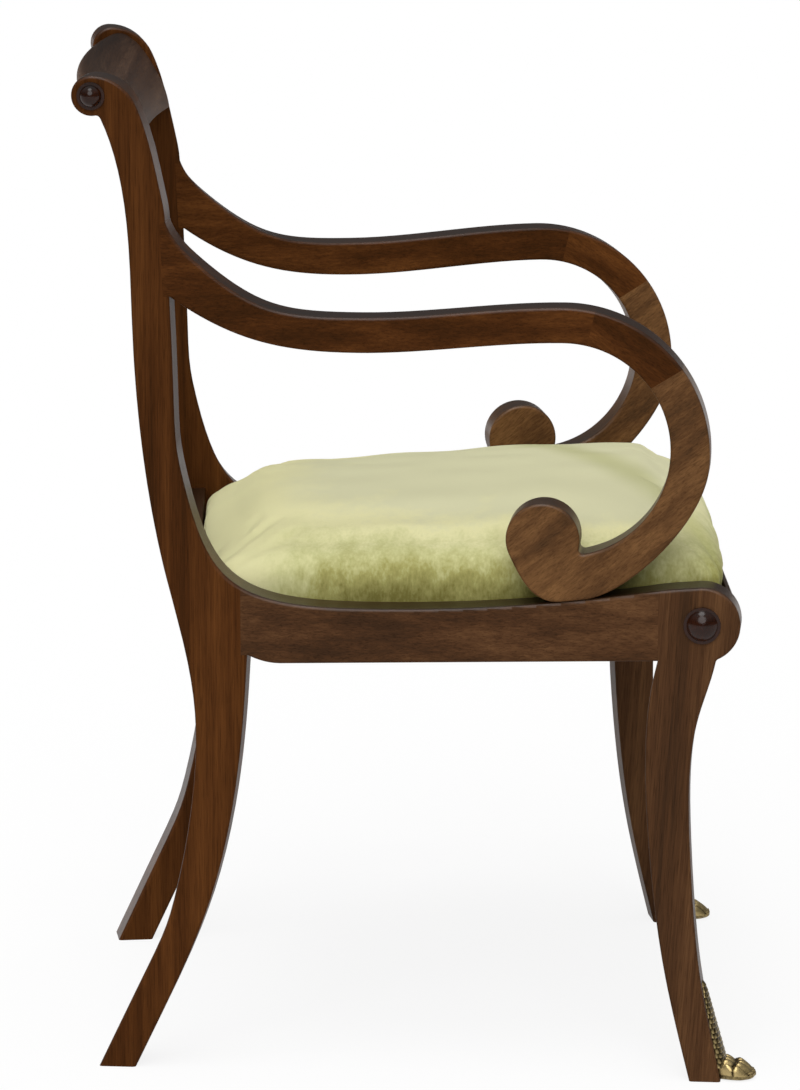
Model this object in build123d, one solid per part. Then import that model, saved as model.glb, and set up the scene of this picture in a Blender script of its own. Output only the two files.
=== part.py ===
from build123d import *
import os
from math import cos, degrees, radians, sin, sqrt, tan

# A scroll-arm dining armchair with sabre legs, a drop-in seat and brass paw toe-caps.
# Millimetres. +Z is up, the front faces -Y, and the sitter's right hand is on the -X side.
# Each side frame is drawn flat: the first number runs forward along the frame from its datum,
# the second is the height above the floor.

# Whole chair
chair_height = 878.0  # floor to the top of the stile scrolls
arm_drop = 195.0  # crown of the arms below the chair's top
rail_height = 417.0  # floor to the lowest point of the side rails' top edge
frame_width = 528.0  # across the outer faces of the side frames, at their datum
side_splay = 6.4  # turn of each side frame outward to the front, degrees
frame_thickness = 36.0  # thickness of every member of the side frames
edge_round = 3.0  # eased edge of the side frames' members
notch_round = 4.0  # easing of the notches beside the scrolls
housing = 5.0  # depth to which the arms are let into the stiles

# Side rails
rail_depth = 50.0  # top edge to underside, at the lowest point
rail_low_place = -40.0  # forward place of the lowest point
rail_front_rise = 20.5  # rise of the top edge at the front joint
rail_under_rise = 8.5  # rise of the underside at the front joint
rail_heel_length = 30.0  # rounded heel under the rear end
rail_heel_rise = 7.0
rail_rear_joint = -149.0  # joint with the rear post
rail_rear_rise = 17.0  # rise of the top edge at the rear joint
rail_rear_slope = 0.58  # its slope there
heel_slope = 0.5  # slope of the rounded heel at the post
rail_front_joint = 214.0  # joint with the front leg

# Rear posts
scroll_radius = 17.5  # rolled top of the stile
scroll_place = -275.5  # forward place of its centre
scroll_end_angle = -70.0  # where the roll meets the back edge, degrees
scroll_end_slope = 0.5
brow_place = -238.0  # where the roll runs into the stile's front edge
brow_drop = 24.0  # below the chair's top
stile_waist = -242.0  # back edge where the stile stands straight
stile_waist_drop = 220.0  # below the chair's top
stile_width = 33.0
stile_sweep = 8.0  # back edge behind the waist, where the stile sweeps back
stile_sweep_share = 0.275  # place of that point between the arm's root and the brow
stile_root_place = -185.0  # front edge where the stile spreads into the rail
stile_root_rise = 64.0  # above the rail's lowest point
stile_foot_place = -198.5
stile_foot_rise = 110.0
bend_place = -215.5  # back edge half way between waist and knee
bend_rise = 30.0  # above the rail's lowest point
knee_place = -189.5  # foremost point of the back edge, under the rail
knee_drop = 102.0  # below the rail's lowest point
knee_width = 42.0
heel_place = -143.5  # front edge of the leg under the rail
rear_calf_height = 153.0  # half way down the sabre leg
rear_calf_place = -209.5
rear_calf_width = 32.0
rear_foot_place = -277.0  # back corner of the foot
rear_foot_width = 32.5
rear_foot_slope = 0.47
heel_lean = 0.06  # slope of the leg's front edge under the rail

# Front legs
lobe_radius = 33.0  # round top of the leg
lobe_place = 252.0
lobe_drop = 9.0  # centre below the rail's lowest point
lobe_start_angle = 95.0  # where the top edge runs into the lobe, degrees
lobe_end_angle = -68.0  # where the leg's front edge leaves it
lobe_end_slope = 0.2
shank_drop = 89.0  # front edge under the lobe, below the rail's lowest point
shank_place = 250.0
ankle_height = 215.0  # rearmost stretch
ankle_place = 207.0  # back edge
ankle_width = 36.0
shin_height = 100.0
shin_place = 221.5
shin_width = 31.0
foot_place = 244.5
foot_width = 27.5
foot_slope = 0.2  # front edge at the floor
foot_back_slope = 0.25
leg_top_slope = 0.3  # back edge at the rail

# Arms
arm_depth = 31.0  # top edge to underside at the crown
arm_root_rise = 69.0  # top corner of the arm on the stile, above the crown
arm_root_set = 3.5  # that corner behind the stile's front line
arm_root_under_set = 0.5  # the lower corner behind it
arm_fall_slope = 0.36  # top edge at the stile
arm_root_slope = 0.72  # underside at the stile
arm_turn_swell = 3.0  # underside swells there
arm_root_depth = 64.0
arm_fall_place = -187.0  # steep stretch by the stile
arm_fall_rise = 47.0  # top edge above the dip there
arm_turn_place = -142.0  # where the fall eases
arm_turn_rise = 15.0
arm_dip_place = -47.0  # lowest point of the top edge
arm_dip = 11.0  # below the crown
bow_place = 130.5  # centre of the arm's round bow
bow_foot_rise = 3.5  # lowest point of the bow above the rail
bow_flat_angle = -5.0  # where the bow flattens towards its seat, degrees
bow_flat_reach = 50.0  # how far the bow's line pulls the flat stretch
arm_foot_reach = 36.0  # how far the rail's line pulls it
bow_width = 34.0  # arm at its foremost point
elbow_angle = 77.5  # joint of arm rail and elbow, degrees round the bow
scroll_angle = 36.0  # joint of elbow and scroll
volute_radius = 32.0
volute_place = 113.5
volute_rise = 56.0  # centre above the rail's top edge
volute_turn = 205.0  # where the volute's round begins, degrees
belly_reach = 26.0  # how far the volute's line pulls the belly under it
belly_foot_reach = 24.0  # how far the rail's line pulls it
arm_seat_rear = 130.0  # the arm's seat on the rail
arm_seat_front = 150.0

# Cross members
crest_height = 75.0  # lower edge of the tablet below the chair's top
crest_thickness = 17.0
crest_setback = 5.0  # lower edge of the face behind the stile's front edge at its sweep
crest_roll_radius = 15.0
crest_roll_set = 13.5  # roll ahead of the stile's roll, at the ends
crest_roll_drop = 3.0  # roll below it
crest_roll_start = 45.0  # where the face runs into the roll, degrees
crest_roll_end = -75.0
crest_lean = 0.15  # slope of the tablet's face and back at its lower edge
crest_brow_fall = 6.0  # face below the stile's brow
crest_brow_set = 2.0  # face behind it
crest_face_slope = 0.7  # face where it runs into the roll
crest_back_slope = 0.4
crest_bow = 17.0  # bow to the rear at the middle
cross_rail_drop = 7.0  # axis below the crown of the arms
cross_rail_place = -217.0
cross_rail_radius = 11.0
back_rail_rise = 23.0  # top above the side rails' lowest point
back_rail_drop = 43.0  # underside below it
back_rail_top_width = 23.0
back_rail_front = -158.0  # front face under the seat
back_rail_under_width = 26.0
front_rail_face = 283.0  # foremost point of the rounded face
front_rail_back = 245.0
front_rail_rise = 14.0  # top of the lip above the side rails' lowest point
front_rail_drop = 39.0  # underside below it
front_rail_lip = 8.0
front_rail_tuck = 14.0  # underside behind the rounded face
front_rail_dowel_sets = (7.0, 20.0)  # dowels in its ends, ahead of its back face
front_rail_dowel_drop = 30.0  # below the side rails' lowest point
back_rail_dowel_sets = ((19.0, -32.0), (39.5, 7.0))  # behind its front face, above the side rails' low
crest_dowel_sets = ((12.0, 60.0), (26.0, 38.0))  # behind the tablet's lower edge, below the chair's top

# Bosses and paw toe-caps
leg_boss_radius = 16.0
leg_boss_height = 9.0
crest_boss_radius = 12.0
crest_boss_height = 10.0
boss_rim_width = 2.5
boss_rim_height = 2.0
spigot_radius = 4.0
spigot_length = 16.0
paw_shank_height = 87.0
paw_instep_height = 30.0
paw_instep_thickness = 3.0
paw_top_thickness = 2.0  # at the upper end of the shank
paw_slope = 0.45  # front of the shank at its upper end
paw_knuckle_slope = 0.2
paw_toe_dip = 2.0  # toes below the knuckle
paw_height = 20.0
paw_toe_place = 303.0  # tips of the toes
paw_toe_radius = 5.0
paw_toe_count = 4
pin_radius = 1.5
pin_length = 18.0
pin_heights = (66.0, 42.0)

# Joinery
dowel_radius = 4.0
dowel_length = 44.0
dowel_spacing = 26.0
arm_dowel_rise = 8.0  # lower dowel above the arm's under corner on the stile
arm_dowel_spacing = 18.0
arm_dowel_shift = 6.0  # dowels reach further into the arm than into the stile
peg_clearance = 0.1  # radial, round dowels, screws, spigots and pins
peg_end_clearance = 1.0
screw_radius = 2.2
screw_head_radius = 4.5
screw_head_height = 3.0
block_screw_length = 42.0
arm_screw_grip = 30.0  # length inside the arm
arm_screw_sink = 12.0  # head above the rail's underside
block_leg = 62.0  # corner block along each rail
block_thickness = 24.0
block_drop = 4.0  # below the ledge
cleat_width = 12.0
cleat_depth = 18.0
cleat_end_gap = 4.0  # from the corner blocks
cleat_screw_inset = 60.0
cleat_screw_grip = 16.0
cleat_screw_sink = 2.0  # head below the cleat's face

# Drop-in seat
ledge_drop = 20.0  # ledge below the side rails' lowest point
seat_gap = 0.3  # between the seat and the ledge that carries it
seat_side_gap = 2.0  # between the cover and the rails, all round
back_rail_clearance = 2.0
seat_rear = -184.0
seat_frame_thickness = 20.0
seat_frame_width = 44.0
cover_thickness = 2.0
cover_fit = 0.5  # between the cover and what it wraps
crown_rear_rise = 74.0  # crown above the rails' lowest point, at the rear
crown_front_rise = 86.0
crown_front_place = 120.0  # where the crown reaches its full height
crown_sag = 34.0  # fall of the crown from the middle to the sides
shoulder_radius = 36.0
rear_rounding = 120.0
front_rounding = 66.0
corner_rounding = 26.0
rounding_sections = 5  # sections along each rounding
side_draw = 1.5  # sides drawn in at the bottom
end_height = 44.0  # cover's ends above its bottom
strap_width = 50.0
strap_thickness = 1.5
strap_count = 3
strap_end_gap = 14.0  # from the edge of the seat frame
layer_gap = 0.3  # between the layers of the stuffing
hessian_thickness = 1.0
dust_thickness = 0.8
dust_inset = 32.0  # edge of the dust cover from the edge of the seat
tack_inset = 6.0  # from the dust cover's edge
tack_head_radius = 3.0
tack_head_height = 1.0
tack_radius = 0.9
tack_length = 9.0
tack_count = 4  # along each side
tack_spread = 0.9  # part of the front and back edges that the tacks take

# The right side frame's plane: first axis forward along the frame, second up, third outward
splay = radians(side_splay)
half_width = frame_width / 2
side_plane = Plane(
    origin=(-half_width, 0, 0), x_dir=(-sin(splay), -cos(splay), 0), z_dir=(-cos(splay), sin(splay), 0)
)
mid_depth = frame_thickness / 2
forward = side_plane.x_dir
upward = Vector(0, 0, 1)
outward = side_plane.z_dir
sideways = Vector(1, 0, 0)
arm_height = chair_height - arm_drop
cross_rail_height = arm_height - cross_rail_drop
ledge_height = rail_height - ledge_drop
parts = {}


def place(point, depth=mid_depth):
    """World point of a point of the right side frame, depth measured inward from the outer face."""
    return side_plane.from_local_coords(Vector(point.X, point.Y, -depth))


def inner_half_width(ahead):
    """Half the clear width between the side frames, at a distance ahead of the datum."""
    return half_width + tan(splay) * ahead - frame_thickness / cos(splay)


def on_circle(centre, radius, turn):
    """A point on a circle of the side frame."""
    return centre + Vector(cos(radians(turn)), sin(radians(turn))) * radius


def arc_round(centre, radius, start, end):
    """Arc of the side frame from one angle to another, in degrees."""
    angles = (start, (start + end) / 2, end)
    return ThreePointArc(*[on_circle(centre, radius, angle) for angle in angles])


def slab(edges, notches=()):
    """A member of the right side frame from its closed outline, notches and curved edges eased."""
    solid = extrude(side_plane * make_face(edges), amount=-frame_thickness)
    for notch in notches:
        creases = solid.edges().filter_by(Axis((0, 0, 0), outward))
        solid = fillet(creases.sort_by_distance(place(notch))[0], notch_round)
    curved = solid.faces().filter_by(side_plane).edges().filter_by(GeomType.LINE, reverse=True)
    return fillet(curved, edge_round)


def rod(start, end, radius):
    """A round bar between two world points."""
    run = end - start
    bar = Cylinder(radius, run.length, align=(Align.CENTER, Align.CENTER, Align.MIN))
    return Plane(origin=start, z_dir=run) * bar


def dowel(middle, direction):
    """A dowel centred on a world point, and the hole for it."""
    reach = direction.normalized() * (dowel_length / 2)
    spare = direction.normalized() * (dowel_length / 2 + peg_end_clearance)
    solid = rod(middle - reach, middle + reach, dowel_radius)
    return solid, rod(middle - spare, middle + spare, dowel_radius + peg_clearance)


def screw(head, direction, length, clear):
    """A screw from the back of its head inward, and the hole for it with room before the head."""
    along = direction.normalized()
    seat = head + along * screw_head_height
    tip = head + along * length
    solid = rod(head, seat, screw_head_radius) + rod(seat, tip, screw_radius)
    bore = rod(head - along * clear, seat, screw_head_radius + peg_clearance)
    return solid, bore + rod(seat, tip + along * peg_end_clearance, screw_radius + peg_clearance)


def other_side(solid):
    """The same piece on the sitter's left."""
    return mirror(solid, about=Plane.YZ)


def pair(name, solid):
    """Stores a piece of the right side and its mirror image."""
    parts[name + "_right"] = solid
    parts[name + "_left"] = other_side(solid)


def group(name, solids):
    """Stores like pieces of both sides, given for the right side, as one group."""
    parts[name] = Compound(children=[Solid(s.wrapped) for piece in solids for s in both(piece)])


def both(piece):
    """Solids of a piece and of its mirror image."""
    return piece.solids() + other_side(piece).solids()


# Places in the side frame that several members share
scroll_centre = Vector(scroll_place, chair_height - scroll_radius)
lobe_centre = Vector(lobe_place, rail_height - lobe_drop)
heel = Vector(heel_place, rail_height - rail_depth + rail_heel_rise)
shoulder = Vector(rail_rear_joint, heel.Y)
rear_top = Vector(rail_rear_joint, rail_height + rail_rear_rise)
rear_top_way = Vector(-1, rail_rear_slope)
front_top = Vector(rail_front_joint, rail_height + rail_front_rise)
front_under = Vector(rail_front_joint, rail_height - rail_depth + rail_under_rise)
rail_run = rail_front_joint - rail_low_place
rail_radius = (rail_run**2 + rail_front_rise**2) / (2 * rail_front_rise)
front_top_way = Vector(sqrt(rail_radius**2 - rail_run**2), rail_run)
stile_front = stile_waist + stile_width


def rail_top(along):
    """Point on the side rail's top edge, which is a wide arc ahead of its lowest point."""
    rise = rail_radius - sqrt(rail_radius**2 - (along - rail_low_place) ** 2)
    return Vector(along, rail_height + rise)


def rail_way(along):
    """Forward direction of the side rail's top edge there."""
    spoke = rail_top(along) - Vector(rail_low_place, rail_height + rail_radius)
    return spoke.normalized().rotate(Axis.Z, 90)


def on_inner_face(along):
    """How far ahead of the datum a place along the side frame lies, on its inner face."""
    return along * cos(splay) + frame_thickness * sin(splay)


crest_face = on_inner_face(stile_front - stile_sweep) - crest_setback
arm_root = Vector(stile_front - arm_root_set, arm_height + arm_root_rise)
arm_root_under = Vector(stile_front - arm_root_under_set, arm_root.Y - arm_root_depth)
arm_seat_place = (arm_seat_rear + arm_seat_front) / 2
arm_root_sink = Vector(-housing, 0)
bow_foot = rail_top(bow_place).Y + bow_foot_rise
bow_radius = (arm_height - bow_foot) / 2
bow_centre = Vector(bow_place, arm_height - bow_radius)
bow_inner_radius = bow_radius - bow_width
bow_inner_centre = Vector(bow_place, arm_height - arm_depth - bow_inner_radius)
volute_centre = Vector(volute_place, rail_top(volute_place).Y + volute_rise)


def rear_post():
    """Stile and rear leg in one piece, rolled at the top, housed for the arm."""
    notch = on_circle(scroll_centre, scroll_radius, scroll_end_angle)
    crown = on_circle(scroll_centre, scroll_radius, 90)
    brow_end = Vector(brow_place, chair_height - brow_drop)
    foot_back = Vector(rear_foot_place, 0)
    foot_front = Vector(rear_foot_place + rear_foot_width, 0)
    waist_height = chair_height - stile_waist_drop
    sweep_height = arm_root.Y + stile_sweep_share * (brow_end.Y - arm_root.Y)
    brow = TangentArc(crown, brow_end, tangent=Vector(1, 0))
    back = Spline(
        notch,
        Vector(stile_waist - stile_sweep, sweep_height),
        Vector(stile_waist, waist_height),
        Vector(bend_place, rail_height + bend_rise),
        Vector(knee_place, rail_height - knee_drop),
        Vector(rear_calf_place, rear_calf_height),
        foot_back,
        tangents=(Vector(scroll_end_slope, -1), Vector(-rear_foot_slope, -1)),
    )
    leg = Spline(
        foot_front,
        Vector(rear_calf_place + rear_calf_width, rear_calf_height),
        Vector(knee_place + knee_width, rail_height - knee_drop),
        heel,
        tangents=(Vector(rear_foot_slope, 1), Vector(heel_lean, 1)),
    )
    root = Spline(
        rear_top,
        Vector(stile_root_place, rail_height + stile_root_rise),
        Vector(stile_foot_place, rail_height + stile_foot_rise),
        arm_root_under,
        tangents=(rear_top_way, arm_root - arm_root_under),
    )
    sweep = Spline(
        arm_root,
        Vector(stile_front - stile_sweep, sweep_height),
        brow_end,
        tangents=(arm_root - arm_root_under, brow % 1 * -1),
    )
    seat = [arm_root_under, arm_root_under + arm_root_sink, arm_root + arm_root_sink, arm_root]
    rail_end = [foot_back, foot_front]
    joint = [heel, shoulder, rear_top]
    scroll = arc_round(scroll_centre, scroll_radius, 90, 360 + scroll_end_angle)
    lines = [*Polyline(*rail_end).edges(), *Polyline(*joint).edges(), *Polyline(*seat).edges()]
    return slab([back, leg, root, sweep, brow, scroll, *lines], [notch])


def side_rail():
    """Side rail between its two joints, top edge dished, heel rounded."""
    low = Vector(rail_low_place, rail_height)
    heel_end = Vector(heel_place + rail_heel_length, rail_height - rail_depth)
    rise = Spline(rear_top, low, tangents=(rear_top_way * -1, Vector(1, 0)))
    dish = ThreePointArc(low, rail_top((rail_low_place + rail_front_joint) / 2), front_top)
    rounded = Spline(heel_end, heel, tangents=(heel_end - front_under, Vector(-1, heel_slope)))
    end = Polyline(front_top, front_under, heel_end)
    joint = Polyline(heel, shoulder, rear_top)
    return slab([rise, dish, rounded, *end.edges(), *joint.edges()])


def front_leg():
    """Front leg: round lobe at the top, then the sabre sweep to the foot."""
    crown = on_circle(lobe_centre, lobe_radius, lobe_start_angle)
    notch = on_circle(lobe_centre, lobe_radius, lobe_end_angle)
    crown_way = (crown - lobe_centre).rotate(Axis.Z, -90)
    foot_back = Vector(foot_place, 0)
    foot_front = Vector(foot_place + foot_width, 0)
    top = Spline(front_top, crown, tangents=(front_top_way, crown_way))
    lobe = arc_round(lobe_centre, lobe_radius, lobe_start_angle, lobe_end_angle)
    front = Spline(
        notch,
        Vector(shank_place, rail_height - shank_drop),
        Vector(ankle_place + ankle_width, ankle_height),
        Vector(shin_place + shin_width, shin_height),
        foot_front,
        tangents=(Vector(-lobe_end_slope, -1), Vector(foot_slope, -1)),
    )
    back = Spline(
        foot_back,
        Vector(shin_place, shin_height),
        Vector(ankle_place, ankle_height),
        front_under,
        tangents=(Vector(-foot_back_slope, 1), Vector(leg_top_slope, 1)),
    )
    joint = Line(front_under, front_top)
    return slab([top, lobe, front, Line(foot_front, foot_back), back, joint], [notch])


def climb(low, crown):
    """Edge of the arm from its dip up to the crown, level at both ends."""
    third = Vector((crown.X - low.X) / 3, 0)
    return Bezier(low, low + third, crown - third, crown)


def arm_rail():
    """Arm from the stile to the elbow joint."""
    level = Vector(1, 0)
    dip = Vector(arm_dip_place, arm_height - arm_dip)
    dip_under = dip - Vector(0, arm_depth)
    turn = Vector(arm_turn_place, dip.Y + arm_turn_rise)
    turn_under = turn - Vector(0, arm_depth + arm_turn_swell)
    fall = Spline(
        arm_root,
        Vector(arm_fall_place, dip.Y + arm_fall_rise),
        turn,
        dip,
        tangents=(Vector(arm_fall_slope, -1), level),
    )
    fall_under = Spline(
        arm_root_under, turn_under, dip_under, tangents=(Vector(1, -arm_root_slope), level)
    )
    rise = climb(dip, on_circle(bow_centre, bow_radius, 90))
    rise_under = climb(dip_under, on_circle(bow_inner_centre, bow_inner_radius, 90))
    over = arc_round(bow_centre, bow_radius, 90, elbow_angle)
    back = arc_round(bow_inner_centre, bow_inner_radius, elbow_angle, 90)
    seat = Polyline(arm_root_under, arm_root_under + arm_root_sink, arm_root + arm_root_sink, arm_root)
    joint = Line(over @ 1, back @ 0)
    return slab([fall, rise, over, joint, back, rise_under, fall_under, *seat.edges()])


def arm_elbow():
    """Upper part of the arm's bow."""
    over = arc_round(bow_centre, bow_radius, elbow_angle, scroll_angle)
    under = arc_round(bow_inner_centre, bow_inner_radius, scroll_angle, elbow_angle)
    return slab([over, Line(over @ 1, under @ 0), under, Line(under @ 1, over @ 0)])


def arm_scroll():
    """Lower part of the arm's bow, seated on the rail and rolled into a round volute."""
    gap = bow_inner_centre - volute_centre
    reach = (gap.length**2 + volute_radius**2 - bow_inner_radius**2) / (2 * gap.length)
    across = gap.normalized().rotate(Axis.Z, -90) * sqrt(volute_radius**2 - reach**2)
    notch = volute_centre + gap.normalized() * reach + across
    rear, front = rail_top(arm_seat_rear), rail_top(arm_seat_front)
    outer = arc_round(bow_centre, bow_radius, scroll_angle, bow_flat_angle)
    leave = outer @ 1 + (outer % 1) * bow_flat_reach
    arrive = front + rail_way(arm_seat_front) * arm_foot_reach
    flat = Bezier(outer @ 1, leave, arrive, front)
    inner = ThreePointArc(
        notch,
        on_circle(bow_inner_centre, bow_inner_radius, bow_flat_angle / 2),
        on_circle(bow_inner_centre, bow_inner_radius, scroll_angle),
    )
    turn = on_circle(volute_centre, volute_radius, volute_turn)
    turn_way = Vector(-sin(radians(volute_turn)), cos(radians(volute_turn)))
    settle = rear - rail_way(arm_seat_rear) * belly_foot_reach
    belly = Bezier(turn, turn + turn_way * belly_reach, settle, rear)
    volute = ThreePointArc(turn, on_circle(volute_centre, volute_radius, 90), notch)
    seat = ThreePointArc(front, rail_top(arm_seat_place), rear)
    return slab([outer, flat, seat, belly, volute, inner, Line(inner @ 1, outer @ 0)], [notch])


def boss(centre, radius, height):
    """A turned button with a rim, and a spigot behind it, on the side frame's outer face."""
    dome = radius - boss_rim_width
    rise = height - boss_rim_height
    cap_radius = (dome**2 + rise**2) / (2 * rise)
    cap_centre = Vector(0, height - cap_radius)
    cap_edge = Vector(dome, boss_rim_height)
    cap_middle = cap_centre + ((cap_edge - cap_centre).normalized() + Vector(0, 1)).normalized() * cap_radius
    outline = [
        Polyline((0, height), (0, -spigot_length), (spigot_radius, -spigot_length), (spigot_radius, 0)),
        Polyline((spigot_radius, 0), (radius, 0), (radius, boss_rim_height), (dome, boss_rim_height)),
        ThreePointArc(cap_edge, cap_middle, (0, height)),
    ]
    profile = Plane.XZ * make_face([edge for curve in outline for edge in curve.edges()])
    turned = revolve(profile, Axis.Z)
    return Plane(origin=place(centre, 0), x_dir=forward, z_dir=outward) * turned


def spigot_hole(centre):
    """Hole for a boss's spigot."""
    bottom = place(centre, spigot_length + peg_end_clearance)
    return rod(place(centre, -peg_end_clearance), bottom, spigot_radius + peg_clearance)


def paw(leg):
    """Brass toe-cap: a shank up the front of the leg, an instep and rounded toes, cut to fit the leg."""
    width = frame_thickness - 2 * edge_round
    front = foot_place + foot_width
    instep = Vector(front + paw_instep_thickness, paw_instep_height)
    knuckle = Vector(paw_toe_place - 3 * paw_toe_radius, paw_height)
    tip = Vector(paw_toe_place - paw_toe_radius, 0)
    top = Vector(shin_place + shin_width + paw_top_thickness, paw_shank_height)
    line = Spline(top, instep, knuckle, tangents=(Vector(paw_slope, -1), Vector(1, -paw_knuckle_slope)))
    inside = Vector(foot_place + foot_width / 2, 0)
    behind = Vector(foot_place, paw_shank_height)
    rest = Polyline(knuckle, tip, inside, behind, top)
    sheet = make_face([line, *rest.edges()])
    solid = extrude(side_plane.offset(-edge_round) * sheet, amount=-width)
    pitch = (width - 2 * paw_toe_radius) / (paw_toe_count - 1)
    for toe in range(paw_toe_count):
        depth = edge_round + paw_toe_radius + toe * pitch
        end = place(Vector(paw_toe_place - paw_toe_radius, paw_toe_radius), depth)
        root = place(Vector(knuckle.X - paw_toe_radius, paw_height - paw_toe_radius - paw_toe_dip), depth)
        solid += rod(root, end, paw_toe_radius) + Pos(end) * Sphere(paw_toe_radius)
    return solid - leg


def across(points):
    """A cross member between the side frames from its section, points given as ahead and height."""
    section = make_face([edge for curve in points for edge in curve.edges()])
    return extrude(Plane.YZ * section, amount=half_width, both=True) & between_frames


def ahead(distance, height):
    """A point of a cross member's section."""
    return Vector(-distance, height)


def gap_plan():
    """Plan of the clear space between the side frames."""
    far = chair_height
    rear, front = -far / 2, far / 2
    corners = [
        (inner_half_width(front), -front),
        (inner_half_width(rear), -rear),
        (-inner_half_width(rear), -rear),
        (-inner_half_width(front), -front),
    ]
    return make_face(Polyline(*corners, close=True).edges())


between_frames = extrude(gap_plan(), amount=chair_height)


def crest_rail():
    """Crest tablet with a rolled top, bowed to the rear in plan."""
    brow_height = chair_height - brow_drop
    low_height = chair_height - crest_height
    roll_centre = Vector(scroll_place + crest_roll_set, scroll_centre.Y - crest_roll_drop)
    crease = on_circle(roll_centre, crest_roll_radius, crest_roll_start)
    under = on_circle(roll_centre, crest_roll_radius, crest_roll_end)
    face = Spline(
        Vector(crest_face, low_height),
        Vector(on_inner_face(brow_place) - crest_brow_set, brow_height - crest_brow_fall),
        crease,
        tangents=(Vector(-crest_lean, 1), Vector(-1, crest_face_slope)),
    )
    back = Spline(
        under,
        Vector(crest_face - crest_thickness, low_height),
        tangents=(Vector(crest_back_slope, -1), Vector(crest_lean, -1)),
    )
    roll_middle = (crest_roll_start + 360 + crest_roll_end) / 2
    roll = ThreePointArc(crease, on_circle(roll_centre, crest_roll_radius, roll_middle), under)
    edges = [face, roll, back, Line(back @ 1, face @ 0)]
    section = Plane(origin=(0, 0, 0), x_dir=(0, -1, 0), z_dir=(-1, 0, 0)) * make_face(edges)
    chord = inner_half_width(crest_face)
    radius = (chord**2 + crest_bow**2) / (2 * crest_bow)
    turn = Axis((0, -crest_face + crest_bow - radius, 0), (0, 0, 1))
    swing = degrees(2 * chord / radius)
    swept = revolve(Pos(0, crest_bow, 0) * section, turn, revolution_arc=swing)
    return swept.rotate(turn, -swing / 2) & between_frames


def cross_rail():
    """Round cross rail between the stiles."""
    bar = Plane(origin=(-half_width, -cross_rail_place, cross_rail_height), z_dir=sideways)
    rod_end = (Align.CENTER, Align.CENTER, Align.MIN)
    return bar * Cylinder(cross_rail_radius, frame_width, align=rod_end) & between_frames


def back_rail():
    """Back seat rail, rebated for the seat, its rear face sloped with the posts."""
    rebate = seat_rear - back_rail_clearance
    top = rail_height + back_rail_rise
    under = rail_height - back_rail_drop
    return across(
        [
            Polyline(
                ahead(back_rail_front, under),
                ahead(back_rail_front, ledge_height),
                ahead(rebate, ledge_height),
                ahead(rebate, top),
                ahead(rebate - back_rail_top_width, top),
                ahead(back_rail_front - back_rail_under_width, under),
                close=True,
            )
        ]
    )


def front_rail():
    """Front seat rail, rounded in front, rebated for the seat."""
    top = rail_height + front_rail_rise
    under = rail_height - front_rail_drop
    rebate = front_rail_face - front_rail_lip
    brow = ahead(rebate + front_rail_lip / 3, top)
    chin = ahead(front_rail_face - front_rail_tuck, under)
    nose = ahead(front_rail_face, (top + under) / 2)
    hollow = Polyline(
        chin,
        ahead(front_rail_back, under),
        ahead(front_rail_back, ledge_height),
        ahead(rebate, ledge_height),
        ahead(rebate, top),
        brow,
    )
    return across([ThreePointArc(brow, nose, chin), hollow])


def corner_block(edge, leg):
    """Three-cornered block in the right-hand corner of a seat rail's face and the side frame."""
    corner = Vector(-inner_half_width(edge), -edge)
    along = Vector(corner.X - forward.X * leg, corner.Y - forward.Y * leg)
    inward = Vector(corner.X + abs(leg), corner.Y)
    plan = make_face(Polyline(corner, along, inward, close=True).edges())
    return Pos(0, 0, ledge_height - block_drop - block_thickness) * extrude(plan, amount=block_thickness)


def block_screws(edge, leg):
    """Two screws of a corner block, one into each rail."""
    height = ledge_height - block_drop - block_thickness / 2
    shift = block_thickness / 5
    way = 1 if leg > 0 else -1
    reach = abs(leg) / 2 - screw_head_height
    side_mid = Vector(-inner_half_width(edge), -edge) - Vector(forward.X, forward.Y) * (leg / 2)
    side_head = Vector(side_mid.X, side_mid.Y, height + shift) - outward * reach
    rail_head = Vector(-inner_half_width(edge) + abs(leg) / 2, -edge + way * reach, height - shift)
    ways = [(side_head, outward), (rail_head, Vector(0, -way, 0))]
    return [screw(head, direction, block_screw_length, block_leg) for head, direction in ways]


seat_front = front_rail_face - front_rail_lip - seat_side_gap
seat_bottom = ledge_height + seat_gap
seat_frame_top = seat_bottom + seat_frame_thickness
seat_frame_inset = cover_thickness + cover_fit + side_draw


def seat_half(distance, inset):
    """Half the seat's width at a distance ahead of the datum, drawn in by an inset."""
    return inner_half_width(distance) - (seat_side_gap + inset) / cos(splay)


def seat_block(inset, low, thickness, rounding):
    """A plate of the seat's plan with round corners."""
    rear, front = seat_rear + inset, seat_front - inset
    wide, narrow = seat_half(front, inset), seat_half(rear, inset)
    corners = [(wide, -front), (narrow, -rear), (-narrow, -rear), (-wide, -front)]
    plate = extrude(make_face(Polyline(*corners, close=True).edges()), amount=thickness)
    return Pos(0, 0, low) * fillet(plate.edges().filter_by(Axis.Z), rounding)


def rounding_share(gap, run):
    """Quarter round: 0 at an end, 1 once the run is over."""
    return sqrt(1 - (1 - min(gap / run, 1.0)) ** 2)


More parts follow.
